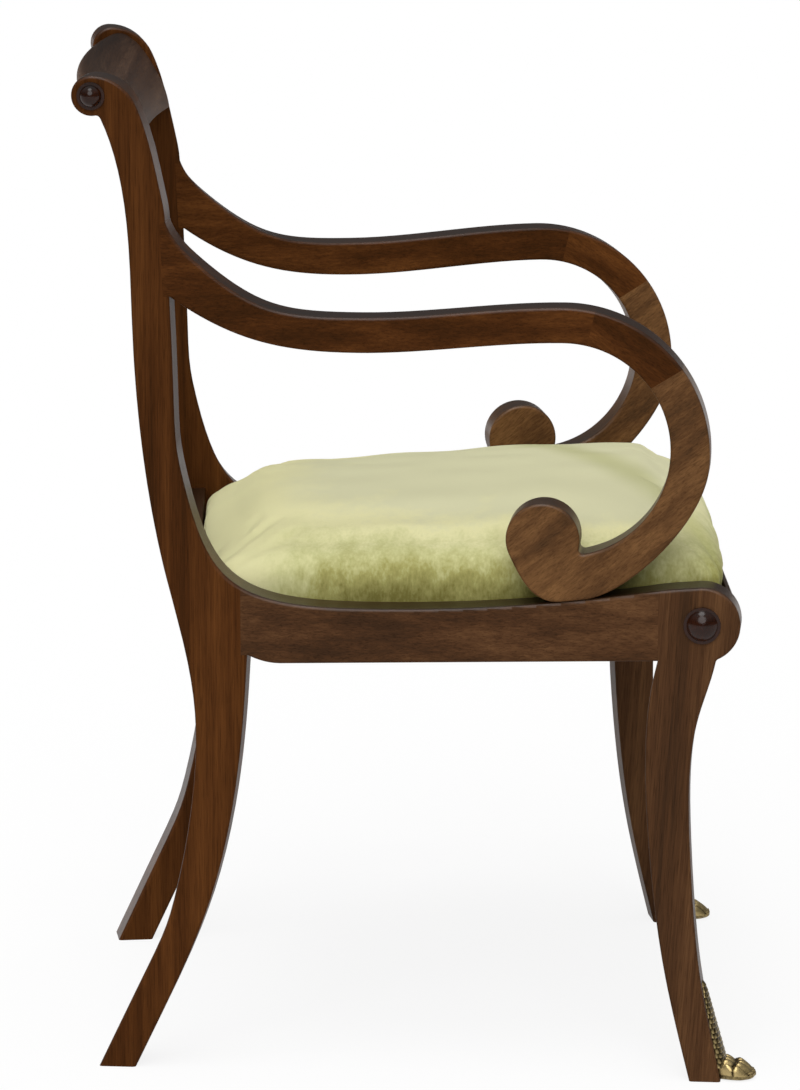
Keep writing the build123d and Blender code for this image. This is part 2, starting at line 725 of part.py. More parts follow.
def cushion_section(at, inset, low):
    """Section across the cushion: drawn-in sides, round shoulders and a crowned top."""
    rear_gap, front_gap = at - seat_rear - inset, seat_front - inset - at
    crown_run = crown_front_place - seat_rear - rear_rounding
    climb = min(max((at - seat_rear - rear_rounding) / crown_run, 0), 1)
    full = rail_height + crown_rear_rise + (crown_front_rise - crown_rear_rise) * climb
    end = seat_bottom + end_height
    share = rounding_share(rear_gap, rear_rounding) * rounding_share(front_gap, front_rounding)
    crown = end + (full - end) * share - inset
    corner = rounding_share(rear_gap, corner_rounding) * rounding_share(front_gap, corner_rounding)
    half = seat_half(at, inset) - corner_rounding * (1 - corner)
    size = (crown - seat_bottom) / (rail_height + crown_front_rise - seat_bottom)
    sag, round_radius = crown_sag * size, shoulder_radius * size
    top_radius = (half**2 + sag**2) / (2 * sag)
    top_centre = Vector(0, crown - top_radius)
    drop = sqrt((top_radius - round_radius) ** 2 - (half - round_radius) ** 2)
    round_centre = Vector(half - round_radius, top_centre.Y + drop)
    meet = top_centre + (round_centre - top_centre).normalized() * top_radius
    brow = round_centre + ((meet - round_centre).normalized() + Vector(1, 0)).normalized() * round_radius
    side = Vector(half, round_centre.Y)
    hem = Vector(half - side_draw, low)

    def flip(point):
        return Vector(-point.X, point.Y)

    edges = [
        Line(flip(hem), hem),
        Line(hem, side),
        ThreePointArc(side, brow, meet),
        ThreePointArc(meet, Vector(0, crown), flip(meet)),
        ThreePointArc(flip(meet), flip(brow), flip(side)),
        Line(flip(side), flip(hem)),
    ]
    return Plane(origin=(0, -at, 0), x_dir=(1, 0, 0), z_dir=(0, -1, 0)) * make_face(edges)


def cushion(inset, low):
    """Cushion form, lofted from rear to front through its sections."""
    rear, front = seat_rear + inset, seat_front - inset
    turns = [radians(90 * count / (rounding_sections - 1)) for count in range(rounding_sections)]
    stations = [rear + (1 - cos(turn)) * rear_rounding for turn in turns]
    stations += [(seat_rear + rear_rounding + crown_front_place) / 2, crown_front_place]
    stations += [front - (1 - cos(turn)) * front_rounding for turn in reversed(turns)]
    return loft([cushion_section(at, inset, low) for at in stations])


def above(height):
    """Everything of the seat above a height."""
    size = chair_height
    return Pos(0, 0, height) * Box(size, size, size, align=(Align.CENTER, Align.CENTER, Align.MIN))


def ahead_of(distance):
    """Everything ahead of a distance from the datum."""
    size = 2 * chair_height
    return Pos(0, -distance, 0) * Box(size, size, size, align=(Align.CENTER, Align.MAX, Align.CENTER))


def right_hand():
    """Everything on the sitter's right."""
    size = 2 * chair_height
    return Box(size, size, size, align=(Align.MAX, Align.CENTER, Align.CENTER))


def straps(thickness_low, lengthwise):
    """Webbing straps, along or across the seat frame."""
    plan = seat_block(seat_frame_inset + strap_end_gap, thickness_low, strap_thickness, corner_rounding)
    rear, front = seat_rear + seat_frame_width, seat_front - seat_frame_width
    found = []
    for count in range(strap_count):
        share = (count + 0.5) / strap_count - 0.5
        at = (rear + front) / 2 + share * (front - rear)
        aside = share * 2 * seat_half(rear, seat_frame_width)
        size = (strap_width, chair_height) if lengthwise else (chair_height, strap_width)
        middle = (aside, 0) if lengthwise else (0, -at)
        found += (plan & (Pos(*middle, thickness_low) * Box(*size, chair_height))).solids()
    return Compound(children=found)


def tack_places():
    """Places of the tacks round the dust cover, right-hand half."""
    inset = dust_inset + tack_inset
    rear, front = seat_rear + inset, seat_front - inset
    found = []
    for count in range(tack_count):
        share = (count + 0.5) / tack_count
        at = rear + (front - rear) * share
        found.append((-seat_half(at, inset), at))
        found += [(-seat_half(edge, inset) * share * tack_spread, edge) for edge in (rear, front)]
    return found


# Side frames: members, bosses, toe-caps and what joins them
post, rail, leg = rear_post(), side_rail(), front_leg()
arm, elbow, volute = arm_rail(), arm_elbow(), arm_scroll()
foot_cap = paw(leg)


def stacked(lower, upper):
    """Two places on an upright joint, spaced evenly about its middle."""
    middle = (lower + upper) * 0.5
    return [middle + Vector(0, step * dowel_spacing / 2) for step in (-1, 1)]


def bow_dowel(angle):
    """Dowel along the arm's bow, across the joint at an angle."""
    outer = on_circle(bow_centre, bow_radius, angle)
    inner = on_circle(bow_inner_centre, bow_inner_radius, angle)
    turn = radians(angle)
    return dowel(place((outer + inner) * 0.5), forward * sin(turn) - upward * cos(turn))


rear_dowels = [dowel(place(at), forward) for at in stacked(shoulder, rear_top)]
front_dowels = [dowel(place(at), forward) for at in stacked(front_under, front_top)]
arm_ends = [
    arm_root_under + arm_root_sink + Vector(arm_dowel_shift, arm_dowel_rise + step * arm_dowel_spacing)
    for step in (0, 1)
]
arm_dowels = [dowel(place(at), forward) for at in arm_ends]
elbow_dowel, scroll_dowel = bow_dowel(elbow_angle), bow_dowel(scroll_angle)
under_slope = rail_under_rise / (rail_front_joint - heel_place - rail_heel_length)
under_height = front_under.Y - under_slope * (rail_front_joint - arm_seat_place)
arm_screw_head = Vector(arm_seat_place, under_height + arm_screw_sink)
arm_screw_length = rail_top(arm_seat_place).Y + arm_screw_grip - arm_screw_head.Y
arm_screw = screw(place(arm_screw_head), upward, arm_screw_length, 2 * arm_screw_sink)


def paw_pin(height):
    """Pin through the toe-cap's shank into the leg, its end flush with the shank."""
    start = place(Vector(foot_place, height))
    line = rod(start, start + forward * (foot_width + pin_length), pin_radius)
    out = max((corner.center() - start).dot(forward) for corner in (line & foot_cap).vertices())
    solid = rod(start + forward * (out - pin_length), start + forward * out, pin_radius)
    bottom = start + forward * (out - pin_length - peg_end_clearance)
    hole = rod(bottom, start + forward * (out + pin_length), pin_radius + peg_clearance)
    return solid, hole


def end_dowels(places):
    """Dowels from a cross member's right-hand end into the side frame."""
    return [dowel(Vector(-inner_half_width(at), -at, height), sideways) for at, height in places]


paw_pins = [paw_pin(height) for height in pin_heights]
crest_pegs = end_dowels([(crest_face - back, chair_height - drop) for back, drop in crest_dowel_sets])
cross_pegs = end_dowels([(cross_rail_place, cross_rail_height)])
back_pegs = end_dowels([(back_rail_front - back, rail_height + rise) for back, rise in back_rail_dowel_sets])
front_peg_height = rail_height - front_rail_dowel_drop
front_pegs = end_dowels([(front_rail_back + step, front_peg_height) for step in front_rail_dowel_sets])
rear_corner = (back_rail_front, -block_leg)
front_corner = (front_rail_back, block_leg)
rear_screws, front_screws = block_screws(*rear_corner), block_screws(*front_corner)


def holes(pegs):
    """Holes of a list of pegs, for the right-hand side."""
    return [hole for solid, hole in pegs]


def drilled(solid, *lists):
    """A right-hand piece with its holes."""
    for found in lists:
        for hole in holes(found):
            solid = solid - hole
    return solid


def drilled_both(solid, *lists):
    """A cross member with the holes of both its ends."""
    for found in lists:
        for hole in holes(found):
            solid = solid - hole - other_side(hole)
    return solid


cleat_rear = (back_rail_front + block_leg) / cos(splay) + cleat_end_gap
cleat_front = (front_rail_back - block_leg) / cos(splay) - cleat_end_gap
cleat_outline = Polyline(
    (cleat_rear, ledge_height),
    (cleat_front, ledge_height),
    (cleat_front, ledge_height - cleat_depth),
    (cleat_rear, ledge_height - cleat_depth),
    close=True,
)
cleat = extrude(side_plane.offset(-frame_thickness) * make_face(cleat_outline.edges()), amount=-cleat_width)
cleat_screws = [
    screw(
        place(Vector(at, ledge_height - cleat_depth / 2), frame_thickness + cleat_width - cleat_screw_sink),
        outward,
        cleat_width - cleat_screw_sink + cleat_screw_grip,
        2 * cleat_screw_sink,
    )
    for at in (cleat_rear + cleat_screw_inset, cleat_front - cleat_screw_inset)
]

post, leg = post - spigot_hole(scroll_centre), leg - spigot_hole(lobe_centre)
pair("rear_post", drilled(post, rear_dowels, arm_dowels, crest_pegs, cross_pegs, back_pegs))
corner_screws = rear_screws + front_screws
pair("side_rail", drilled(rail, rear_dowels, front_dowels, [arm_screw], cleat_screws, corner_screws))
pair("front_leg", drilled(leg, front_dowels, front_pegs, front_screws, paw_pins))
pair("arm_rail", drilled(arm, arm_dowels, [elbow_dowel]))
pair("arm_elbow", drilled(elbow, [elbow_dowel, scroll_dowel]))
pair("arm_scroll", drilled(volute, [scroll_dowel, arm_screw]))
pair("crest_boss", boss(scroll_centre, crest_boss_radius, crest_boss_height))
pair("leg_boss", boss(lobe_centre, leg_boss_radius, leg_boss_height))
pair("paw_foot", drilled(foot_cap, paw_pins))
pair("seat_cleat", drilled(cleat, cleat_screws))
pair("rear_corner_block", drilled(corner_block(*rear_corner), rear_screws))
pair("front_corner_block", drilled(corner_block(*front_corner), front_screws))
parts["crest_rail"] = drilled_both(crest_rail(), crest_pegs)
parts["cross_rail"] = drilled_both(cross_rail(), cross_pegs)
parts["back_rail"] = drilled_both(back_rail(), back_pegs, rear_screws)
parts["front_rail"] = drilled_both(front_rail(), front_pegs, front_screws)


def solids_of(*lists):
    """Pegs of several lists, without their holes."""
    return [solid for found in lists for solid, hole in found]


group("side_frame_dowels", solids_of(rear_dowels, front_dowels))
group("arm_dowels", solids_of(arm_dowels, [elbow_dowel, scroll_dowel]))
group("cross_member_dowels", solids_of(crest_pegs, cross_pegs, back_pegs, front_pegs))
group("corner_block_screws", solids_of(corner_screws))
group("cleat_screws", solids_of(cleat_screws))
group("arm_screws", solids_of([arm_screw]))
group("paw_pins", solids_of(paw_pins))

# Drop-in seat
ring_corner = corner_rounding + seat_frame_inset
frame_plate = seat_block(seat_frame_inset, seat_bottom, seat_frame_thickness, ring_corner)
ring_inset = seat_frame_inset + seat_frame_width
ring = frame_plate - seat_block(ring_inset, seat_bottom, seat_frame_thickness, notch_round)
rear_seam = seat_rear + seat_frame_inset + seat_frame_width
front_seam = seat_front - seat_frame_inset - seat_frame_width
seam_middle = seat_frame_inset + seat_frame_width / 2
seat_dowels = [
    dowel(Vector(-seat_half(at, seam_middle), -at, seat_bottom + seat_frame_thickness / 2), forward)
    for at in (rear_seam, front_seam)
]
middle_ring = (ring & ahead_of(rear_seam)) - ahead_of(front_seam)
dust_low = seat_bottom - dust_thickness
tacks = []
for aside, at in tack_places():
    foot = Vector(aside, -at, dust_low)
    shank = rod(foot, foot + upward * tack_length, tack_radius)
    hole = rod(foot - upward, foot + upward * (tack_length + peg_end_clearance), tack_radius + peg_clearance)
    tacks.append((rod(foot - upward * tack_head_height, foot, tack_head_radius) + shank, hole))
seat_right = drilled(middle_ring & right_hand(), seat_dowels, tacks)
parts["seat_frame_right"] = seat_right
parts["seat_frame_left"] = other_side(seat_right)
parts["seat_frame_front"] = drilled_both(ring & ahead_of(front_seam), seat_dowels, tacks)
parts["seat_frame_back"] = drilled_both(ring - ahead_of(rear_seam), seat_dowels, tacks)
group("seat_frame_dowels", solids_of(seat_dowels))
strap_low = seat_frame_top + layer_gap
strap_high = strap_low + strap_thickness + layer_gap
hessian_low = strap_high + strap_thickness + layer_gap
pad_low = hessian_low + hessian_thickness + layer_gap
parts["webbing_lengthwise"] = straps(strap_low, True)
parts["webbing_crosswise"] = straps(strap_high, False)
hessian_inset = seat_frame_inset + layer_gap
parts["hessian"] = seat_block(hessian_inset, hessian_low, hessian_thickness, 2 * corner_rounding)
parts["seat_pad"] = cushion(cover_thickness + cover_fit, seat_bottom) & above(pad_low)
parts["seat_cover"] = cushion(0, seat_bottom) - cushion(cover_thickness, seat_bottom - cover_thickness)
dust = seat_block(dust_inset, dust_low, dust_thickness, corner_rounding / 2)
parts["dust_cover"] = drilled_both(dust, tacks)
group("cover_tacks", solids_of(tacks))

# The origin is on the floor, at the middle of the chair's length and width
box = Compound([solid for shape in parts.values() for solid in shape.solids()]).bounding_box()
middle = (box.min.Y + box.max.Y) / 2
os.makedirs("parts", exist_ok=True)
for name, shape in parts.items():
    moved = [Pos(0, -middle, 0) * solid for solid in shape.solids()]
    export_step(Compound(moved), "parts/" + name + ".step")
print("nodes", len(parts), "size", box.size, "datum moved", -middle)
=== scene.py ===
# %% [markdown]
# # A scroll-arm dining armchair
# The chair is dark polished mahogany: two sabre-curved side frames, joined by a bowed crest tablet, a thin
# cross rail and the seat rails. A velvet drop-in seat lies between them, and brass paws cap the front feet.
# The solid model gives every member its shape, so this script loads it as a fixed frame, dresses it and adds
# what solids can't show: the stuffed seat, the cast paws and the finishes.

import math

import bmesh
import bpy
import numpy as np
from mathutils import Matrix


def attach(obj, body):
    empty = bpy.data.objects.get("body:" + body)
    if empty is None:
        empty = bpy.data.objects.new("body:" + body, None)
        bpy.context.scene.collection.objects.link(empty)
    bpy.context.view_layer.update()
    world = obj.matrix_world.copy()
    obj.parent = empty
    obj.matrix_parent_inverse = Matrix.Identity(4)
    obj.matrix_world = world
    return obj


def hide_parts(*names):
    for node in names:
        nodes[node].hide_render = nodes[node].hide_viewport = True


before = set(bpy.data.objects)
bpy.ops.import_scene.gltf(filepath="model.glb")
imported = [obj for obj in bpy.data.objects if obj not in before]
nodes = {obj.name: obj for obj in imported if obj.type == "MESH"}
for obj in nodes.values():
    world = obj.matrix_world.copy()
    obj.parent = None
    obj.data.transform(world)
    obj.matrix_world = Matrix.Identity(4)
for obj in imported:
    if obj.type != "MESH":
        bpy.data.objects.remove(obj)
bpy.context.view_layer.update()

# %% [markdown]
# The chair is seen square from its right side, a little from above, through a long lens. A long lens a few
# metres away keeps the far side frame nearly as large as the near one. The camera is placed by its pitch, its
# yaw, the point it looks at and its distance, which say more to a reader than a matrix would.

# %% Camera
QUARTER = math.pi / 2
PITCH, YAW = math.radians(10.84), math.radians(-1.04)
LOOK_AT = np.array([0.0, 0.0100, 0.4238])
DISTANCE = 5.054
FOCAL_PIXELS, FRAME_PIXELS = 5538.0, 1090.0


def put(name, data):
    """A new object in the scene, at the origin."""
    made = bpy.data.objects.new(name, data)
    bpy.context.scene.collection.objects.link(made)
    return made


level = math.cos(PITCH)
sight = np.array([level * math.cos(YAW), level * math.sin(YAW), -math.sin(PITCH)])
camera = put("camera", bpy.data.cameras.new("camera"))
camera.location = LOOK_AT - sight * DISTANCE
camera.rotation_euler = (QUARTER - PITCH, 0.0, YAW - QUARTER)
camera.data.lens = FOCAL_PIXELS / FRAME_PIXELS * camera.data.sensor_width
camera.data.clip_end = 100.0
bpy.context.scene.camera = camera
bpy.context.scene.view_settings.view_transform = "Standard"
print("lens", round(camera.data.lens, 1), "mm")

# %% [markdown]
# Every finish below is a small web of nodes around one shader. Two helpers keep them readable: one makes a
# finish, the other adds a node and either sets or links each of its inputs. Colours are written as the eye
# reads them, from 0 to 255, and turned into the light values that the shader works with.

# %% Finish helpers
def colour(red, green, blue):
    """Display colour to linear light: c / 12.92 below 0.04045, else ((c + 0.055) / 1.055) ** 2.4."""
    shown = np.array([red, green, blue]) / 255.0
    linear = np.where(shown <= 0.04045, shown / 12.92, ((shown + 0.055) / 1.055) ** 2.4)
    return (*linear.tolist(), 1.0)


def finish(name, **sockets):
    """A new material; the sockets named by keyword are set on its shader."""
    made = bpy.data.materials.new(name)
    made.use_nodes = True
    shader = made.node_tree.nodes["Principled BSDF"]
    for socket, value in sockets.items():
        shader.inputs[socket.replace("_", " ")].default_value = value
    return made, shader


def add(owner, kind, inputs, **settings):
    """A node of that kind in a material or world; each input is linked if it is a socket, and set otherwise."""
    made = owner.node_tree.nodes.new("ShaderNode" + kind)
    for key, value in settings.items():
        setattr(made, key, value)
    for key, value in inputs.items():
        if isinstance(value, bpy.types.NodeSocket):
            owner.node_tree.links.new(value, made.inputs[key])
        else:
            made.inputs[key].default_value = value
    return made


def wire(owner, node, **outputs):
    """Links outputs to a node's inputs, which are named by keyword."""
    for socket, output in outputs.items():
        owner.node_tree.links.new(output, node.inputs[socket.replace("_", " ")])


def dress(material, *names):
    """Gives the material to CAD nodes."""
    for name in names:
        mesh = nodes[name].data
        mesh.materials.clear()
        mesh.materials.append(material)


print("finish helpers ready")

# %% [markdown]
# A few kinds of node come up in every finish: noise, which is the stuff of grain and clouds, a change of range,
# a weighted sum, a ramp of colours and a bump. Each gets a short function, so that a finish reads as a recipe.

# %% Node helpers
def mapped(owner, value, source=(0.0, 1.0), target=(0.0, 1.0), **settings):
    """A value carried from one range to another, and held at its ends."""
    ends = {"From Min": source[0], "From Max": source[1], "To Min": target[0], "To Max": target[1]}
    return add(owner, "MapRange", {"Value": value, **ends}, **settings).outputs[0]


def noise(owner, place, scale, detail, roughness=0.5):
    """Cloudy noise from 0 to 1; a scale of three numbers stretches it."""
    if isinstance(scale, tuple):
        place, scale = add(owner, "Mapping", {"Vector": place, "Scale": scale}).outputs[0], 1.0
    inputs = {"Vector": place, "Scale": scale, "Detail": detail, "Roughness": roughness}
    return add(owner, "TexNoise", inputs).outputs["Fac"]


def ramp(owner, factor, *stops):
    """A colour ramp through stops of (place, colour)."""
    made = add(owner, "ValToRGB", {"Fac": factor})
    made.color_ramp.elements.remove(made.color_ramp.elements[1])
    made.color_ramp.elements[0].position = stops[0][0]
    made.color_ramp.elements[0].color = stops[0][1]
    for place, shade in stops[1:]:
        made.color_ramp.elements.new(place).color = shade
    return made.outputs["Color"]


def total(owner, *weighted):
    """Sum of value times weight over the given pairs."""
    running = 0.0
    for value, weight in weighted:
        inputs = {0: value, 1: weight, 2: running}
        running = add(owner, "Math", inputs, operation="MULTIPLY_ADD").outputs[0]
    return running


def bump(owner, strength, distance, height):
    """Fine relief in the shading; the distance is in metres."""
    return add(owner, "Bump", {"Strength": strength, "Distance": distance, "Height": height}).outputs[0]


print("node helpers ready")

# %% [markdown]
# Polished wood shows the room it stands in. Here the room is dark at eye level and bright overhead, so level
# faces stay deep brown and only the eased edges catch a thin bright line. One wide lamp hangs overhead and a
# second stands behind the camera.

# %% Light
CEILING_HEIGHTS, CEILING_LIGHT = (0.30, 0.95), (0.10, 0.70)
LAMP_TURN = math.radians(-6)
world = bpy.data.worlds.new("studio")
bpy.context.scene.world = world
world.use_nodes = True
room = world.node_tree.nodes["Background"]
room.inputs["Color"].default_value = (1.0, 1.0, 1.0, 1.0)
direction = add(world, "TexCoord", {}).outputs["Generated"]
height = add(world, "SeparateXYZ", {"Vector": direction}).outputs["Z"]
wire(world, room, Strength=mapped(world, height, CEILING_HEIGHTS, CEILING_LIGHT))


def lamp(name, energy, spread, tilt):
    """A wide far lamp; its width, and its lean from overhead to the camera, are in degrees."""
    made = put(name, bpy.data.lights.new(name, "SUN"))
    made.data.energy = energy
    made.data.angle = math.radians(spread)
    made.rotation_euler = (LAMP_TURN, math.radians(-tilt), 0.0)
    return made


lamps = [lamp("overhead_lamp", 1.1, 30, 14), lamp("camera_side_lamp", 1.6, 45, 54)]
print("lamps", len(lamps))

# %% [markdown]
# The floor is white paper. The camera and mirror-like surfaces see it mostly by its own glow, which leaves a
# faint shadow, while the chair gets only the light that the paper throws back.

# %% Floor
FLOOR_RADIUS, FLOOR_CORNERS, FLOOR_GLOW = 40.0, 64, 0.86
PAPER = (0.93, 0.93, 0.93, 1.0)
turn = np.linspace(0.0, 2 * np.pi, FLOOR_CORNERS, endpoint=False)
rim = FLOOR_RADIUS * np.stack([np.cos(turn), np.sin(turn), 0 * turn], axis=1)
floor_mesh = bpy.data.meshes.new("floor")
floor_mesh.from_pydata(rim.tolist(), [], [list(range(FLOOR_CORNERS))])
floor = put("floor", floor_mesh)
paper, face = finish("white_paper", Base_Color=PAPER, Roughness=0.9, Specular_IOR_Level=0.0)
rays = add(paper, "LightPath", {}).outputs
seen = rays["Is Camera Ray"]
for kind in ("Is Glossy Ray", "Is Transmission Ray"):
    seen = add(paper, "Math", {0: seen, 1: rays[kind]}, operation="MAXIMUM").outputs[0]
part = add(paper, "Math", {0: seen, 1: FLOOR_GLOW}, operation="MULTIPLY").outputs[0]
glow = add(paper, "Emission", {}).outputs[0]
blend = add(paper, "MixShader", {0: part, 1: face.outputs[0], 2: glow}).outputs[0]
wire(paper, paper.node_tree.nodes["Material Output"], Surface=blend)
floor_mesh.materials.append(paper)
print("floor", FLOOR_RADIUS, "m")

# %% [markdown]
# Mahogany has a straight grain with dark pores drawn out along it, broad bands of lighter and darker wood, and
# narrow ribbons. All of them are noise stretched along the grain. Hands and cloths have rubbed the faces that
# look up, so these shine more, and painted shade darkens them, which the surface's own direction decides.

# %% Mahogany
BOARD_SHADES = (
    (0.36, (57, 35, 20)),
    (0.47, (71, 43, 24)),
    (0.54, (82, 51, 29)),
    (0.66, (100, 64, 37)),
)


def mahogany(name, turn, shift, tone, gloss=0.012, rough=(0.26, 0.40), rub=0.25):
    """Polished wood whose grain runs along the turned Z axis.

    Shade = 0.34 bands + 0.40 ribbons + 0.26 fibres, darkened at the pores, where each is noise on coordinates
    squeezed along the grain. Faces that look up go from the plain gloss to the rubbed one, and get painted shade.
    """
    wood, shader = finish(name, Specular_IOR_Level=gloss)
    facing = add(wood, "NewGeometry", {}).outputs["Normal"]
    upward = add(wood, "SeparateXYZ", {"Vector": facing}).outputs["Z"]
    if rub != gloss:
        wire(wood, shader, Specular_IOR_Level=mapped(wood, upward, (0.1, 0.5), (gloss, rub)))
    place = add(wood, "TexCoord", {}).outputs["Object"]
    board = add(wood, "Mapping", {"Vector": place, "Rotation": turn, "Location": shift}).outputs[0]

    def grain(across, along, detail):
        return noise(wood, board, (across, across, along), detail)

    bands, ribbons, fibres = grain(16, 1.6, 1.0), grain(75, 2.4, 2.0), grain(520, 14, 2.0)
    pits = mapped(wood, grain(1300, 46, 1.0), (0.34, 0.46))
    shade = total(wood, (bands, 0.34), (ribbons, 0.40), (fibres, 0.26))
    toned = [(spot, (*np.multiply(tone, colour(*shown)[:3]).tolist(), 1.0)) for spot, shown in BOARD_SHADES]
    face = ramp(wood, shade, *toned)
    # painted shade: faces that look up are darkened down to 0.35, standing in for the dark room they mirror
    painted_top_shade = mapped(wood, upward, (0.5, 0.95), (1.0, 0.35))
    pitted = mapped(wood, pits, target=(0.72, 1.0))
    # the real pores times the painted shade on the upper faces
    dark = add(wood, "Math", {0: pitted, 1: painted_top_shade}, operation="MULTIPLY").outputs[0]
    grain_and_top_shade = add(wood, "Mix", {"Factor": 1.0, "A": face, "B": dark}, data_type="RGBA", blend_type="MULTIPLY")
    polish = mapped(wood, fibres, target=rough)
    relief = bump(wood, 0.12, 0.0003, total(wood, (pits, 0.6), (fibres, 0.4)))
    wire(wood, shader, Base_Color=grain_and_top_shade.outputs["Result"], Roughness=polish, Normal=relief)
    return wood


print("mahogany shades", len(BOARD_SHADES))

# %% [markdown]
# Each member is sawn from its own board, so the pattern is turned to that member's length and moved along for
# every piece, which also shows the joints. The arm's scroll is of paler wood, the turned bosses are nearly black,
# and the crest is a duller, cooler brown, greyed further by a painted sheen.

# %% Boards
SPLAY = math.radians(6.4)
WARM, BROWN, PALE = (0.84, 0.74, 0.52), (1.02, 1.20, 1.40), (1.48, 1.80, 1.90)
# the crest's tone is partly its own cooler brown and partly a painted grey sheen
DEEP, COOL_AND_SHEEN = (0.30, 0.20, 0.18), (1.10, 1.60, 2.80)
CROSSWAYS = (0.0, -QUARTER, 0.0)
for side, lean, shift in (("right", SPLAY, 0.0), ("left", -SPLAY, 0.37)):
    lengthways = (QUARTER, lean, 0.0)
    boards = (
        ("post", ["rear_post"], (0.0, 0.0, lean), (shift, 0.1, 0.2), WARM),
        ("leg", ["front_leg"], (math.radians(-4), 0.0, lean), (0.5 + shift, 0.3, 0.0), BROWN),
        ("rail", ["side_rail"], lengthways, (0.2, shift, 0.7), BROWN),
        ("arm", ["arm_rail"], lengthways, (0.9, 0.4 + shift, 0.1), WARM),
        ("elbow", ["arm_elbow"], (math.radians(57), lean, 0.0), (0.6, 0.2 + shift, 0.3), WARM),
        ("scroll", ["arm_scroll"], (math.radians(127), lean, 0.0), (0.1, 0.8 + shift, 0.5), PALE),
        ("boss", ["crest_boss", "leg_boss"], CROSSWAYS, (0.3, shift, 0.9), DEEP, 0.24, (0.12, 0.18)),
    )
    for board, members, *look in boards:
        wood = mahogany("mahogany_" + board + "_" + side, *look)
        dress(wood, *[member + "_" + side for member in members])
# the crest's grey cast is a painted sheen on top of its own duller brown
dress(mahogany("mahogany_crest", CROSSWAYS, (0.4, 0.6, 0.2), COOL_AND_SHEEN, 0.04, (0.40, 0.56), 0.04), "crest_rail")
rail_wood = mahogany("mahogany_seat_rails", CROSSWAYS, (0.8, 0.1, 0.6), BROWN)
dress(rail_wood, "front_rail", "back_rail", "cross_rail")
print("mahogany on", sum(1 for n in nodes if nodes[n].data.materials[0].name.startswith("mahogany")), "nodes")

# %% [markdown]
# Under the seat the chair is plain: pale beech blocks, cleats, dowels and the seat's own frame, left bare. Bare
# beech shows short flecks, which are stretched noise cut to its peaks.

# %% Beech
BARE_STARTS = ("front_corner_block", "rear_corner_block", "seat_cleat", "seat_frame")


def beech():
    """Bare pale wood: fine fibres along X with darker flecks where stretched noise passes a limit."""
    wood, shader = finish("bare_beech", Specular_IOR_Level=0.25)
    place = add(wood, "TexCoord", {}).outputs["Object"]
    fibres = noise(wood, place, (25, 260, 260), 4.0)
    flecks = mapped(wood, noise(wood, place, (130, 700, 700), 1.0), (0.6, 0.7))
    shade = total(wood, (fibres, 1.0), (flecks, -0.25))
    face = ramp(wood, shade, (0.2, colour(150, 112, 76)), (0.7, colour(203, 168, 124)))
    rough = mapped(wood, fibres, target=(0.55, 0.75))
    wire(wood, shader, Base_Color=face, Roughness=rough, Normal=bump(wood, 0.25, 0.0003, fibres))
    return wood


bare = [n for n in nodes if n.startswith(BARE_STARTS) or n.endswith("dowels")]
dress(beech(), *bare)
print("beech on", len(bare), "nodes")

# %% [markdown]
# Screws and tacks are plain steel, dulled by time, and the paws are brass gone dark in its hollows. Fine noise
# changes how sharply the metal mirrors the room. The hollows are told by an attribute that the paws carry.

# %% Steel and brass
def metal(name, pale, dark, rough, grain, patina=0.0):
    """Worn metal: from dark to pale by cloudy noise and, by the patina's share, by the relief attribute."""
    made, shader = finish(name, Metallic=1.0)
    place = add(made, "TexCoord", {}).outputs["Object"]
    cloud, fine = noise(made, place, grain, 4.0, 0.6), noise(made, place, 9 * grain, 3.0)
    relief = add(made, "Attribute", {}, attribute_name="relief").outputs["Fac"]
    mixed = total(made, (cloud, 1.0 - patina), (relief, patina))
    face = ramp(made, mixed, (0.30, colour(*dark)), (0.70, colour(*pale)))
    dents = bump(made, 0.3, 0.0002, total(made, (cloud, 0.5), (fine, 0.5)))
    wire(made, shader, Base_Color=face, Roughness=mapped(made, fine, target=rough), Normal=dents)
    return made


dull_steel = metal("dull_steel", (150, 150, 152), (96, 95, 96), (0.3, 0.55), 120.0)
dress(dull_steel, "cover_tacks", *[n for n in nodes if n.endswith("screws")])
antique_brass = metal("antique_brass", (186, 164, 114), (46, 36, 20), (0.26, 0.5), 420.0, 0.45)
dress(antique_brass, "paw_foot_right", "paw_foot_left", "paw_pins")
print("metals", dull_steel.name, antique_brass.name)

# %% [markdown]
# Webbing, hessian and the dust cover are woven cloth. A weave is two sets of waves at right angles, one over the
# other, so the height is the larger of two sines.

# %% Woven cloths
def weave(name, pale, dark, pitch):
    """Plain weave: height = max(sin x, sin y) at the thread pitch, and the colour follows it."""
    cloth, shader = finish(name, Roughness=0.9, Specular_IOR_Level=0.1)
    place = add(cloth, "TexCoord", {}).outputs["Object"]
    thread = {"Vector": place, "Scale": 0.05 / pitch, "Distortion": 0.6}
    warp, weft = [add(cloth, "TexWave", thread, bands_direction=way).outputs["Fac"] for way in "XY"]
    high = add(cloth, "Math", {0: warp, 1: weft}, operation="MAXIMUM").outputs[0]
    shade = total(cloth, (high, 0.6), (noise(cloth, place, 300.0, 2.0), 0.4))
    face = ramp(cloth, shade, (0.25, colour(*dark)), (0.75, colour(*pale)))
    wire(cloth, shader, Base_Color=face, Normal=bump(cloth, 0.5, 0.0004, high))
    return cloth


jute = weave("woven_jute", (176, 144, 98), (112, 84, 50), 0.0016)
calico = weave("black_calico", (46, 44, 42), (18, 17, 17), 0.0008)
print("cloths", jute.name, calico.name)

# %% [markdown]
# New pieces are surfaces computed as grids of points, whole arrays at a time. Two helpers turn grids into meshes:
# one gives the four-cornered faces between neighbouring points, the other closes two matching grids, an upper and
# a lower one, with a wall round their rim.

# %% Mesh helpers
def grid_faces(rows, columns):
    """Corner numbers of the quads of a grid, row by row."""
    first = (np.arange(rows - 1)[:, None] * columns + np.arange(columns - 1)).ravel()
    return np.stack([first, first + 1, first + columns + 1, first + columns], axis=1)


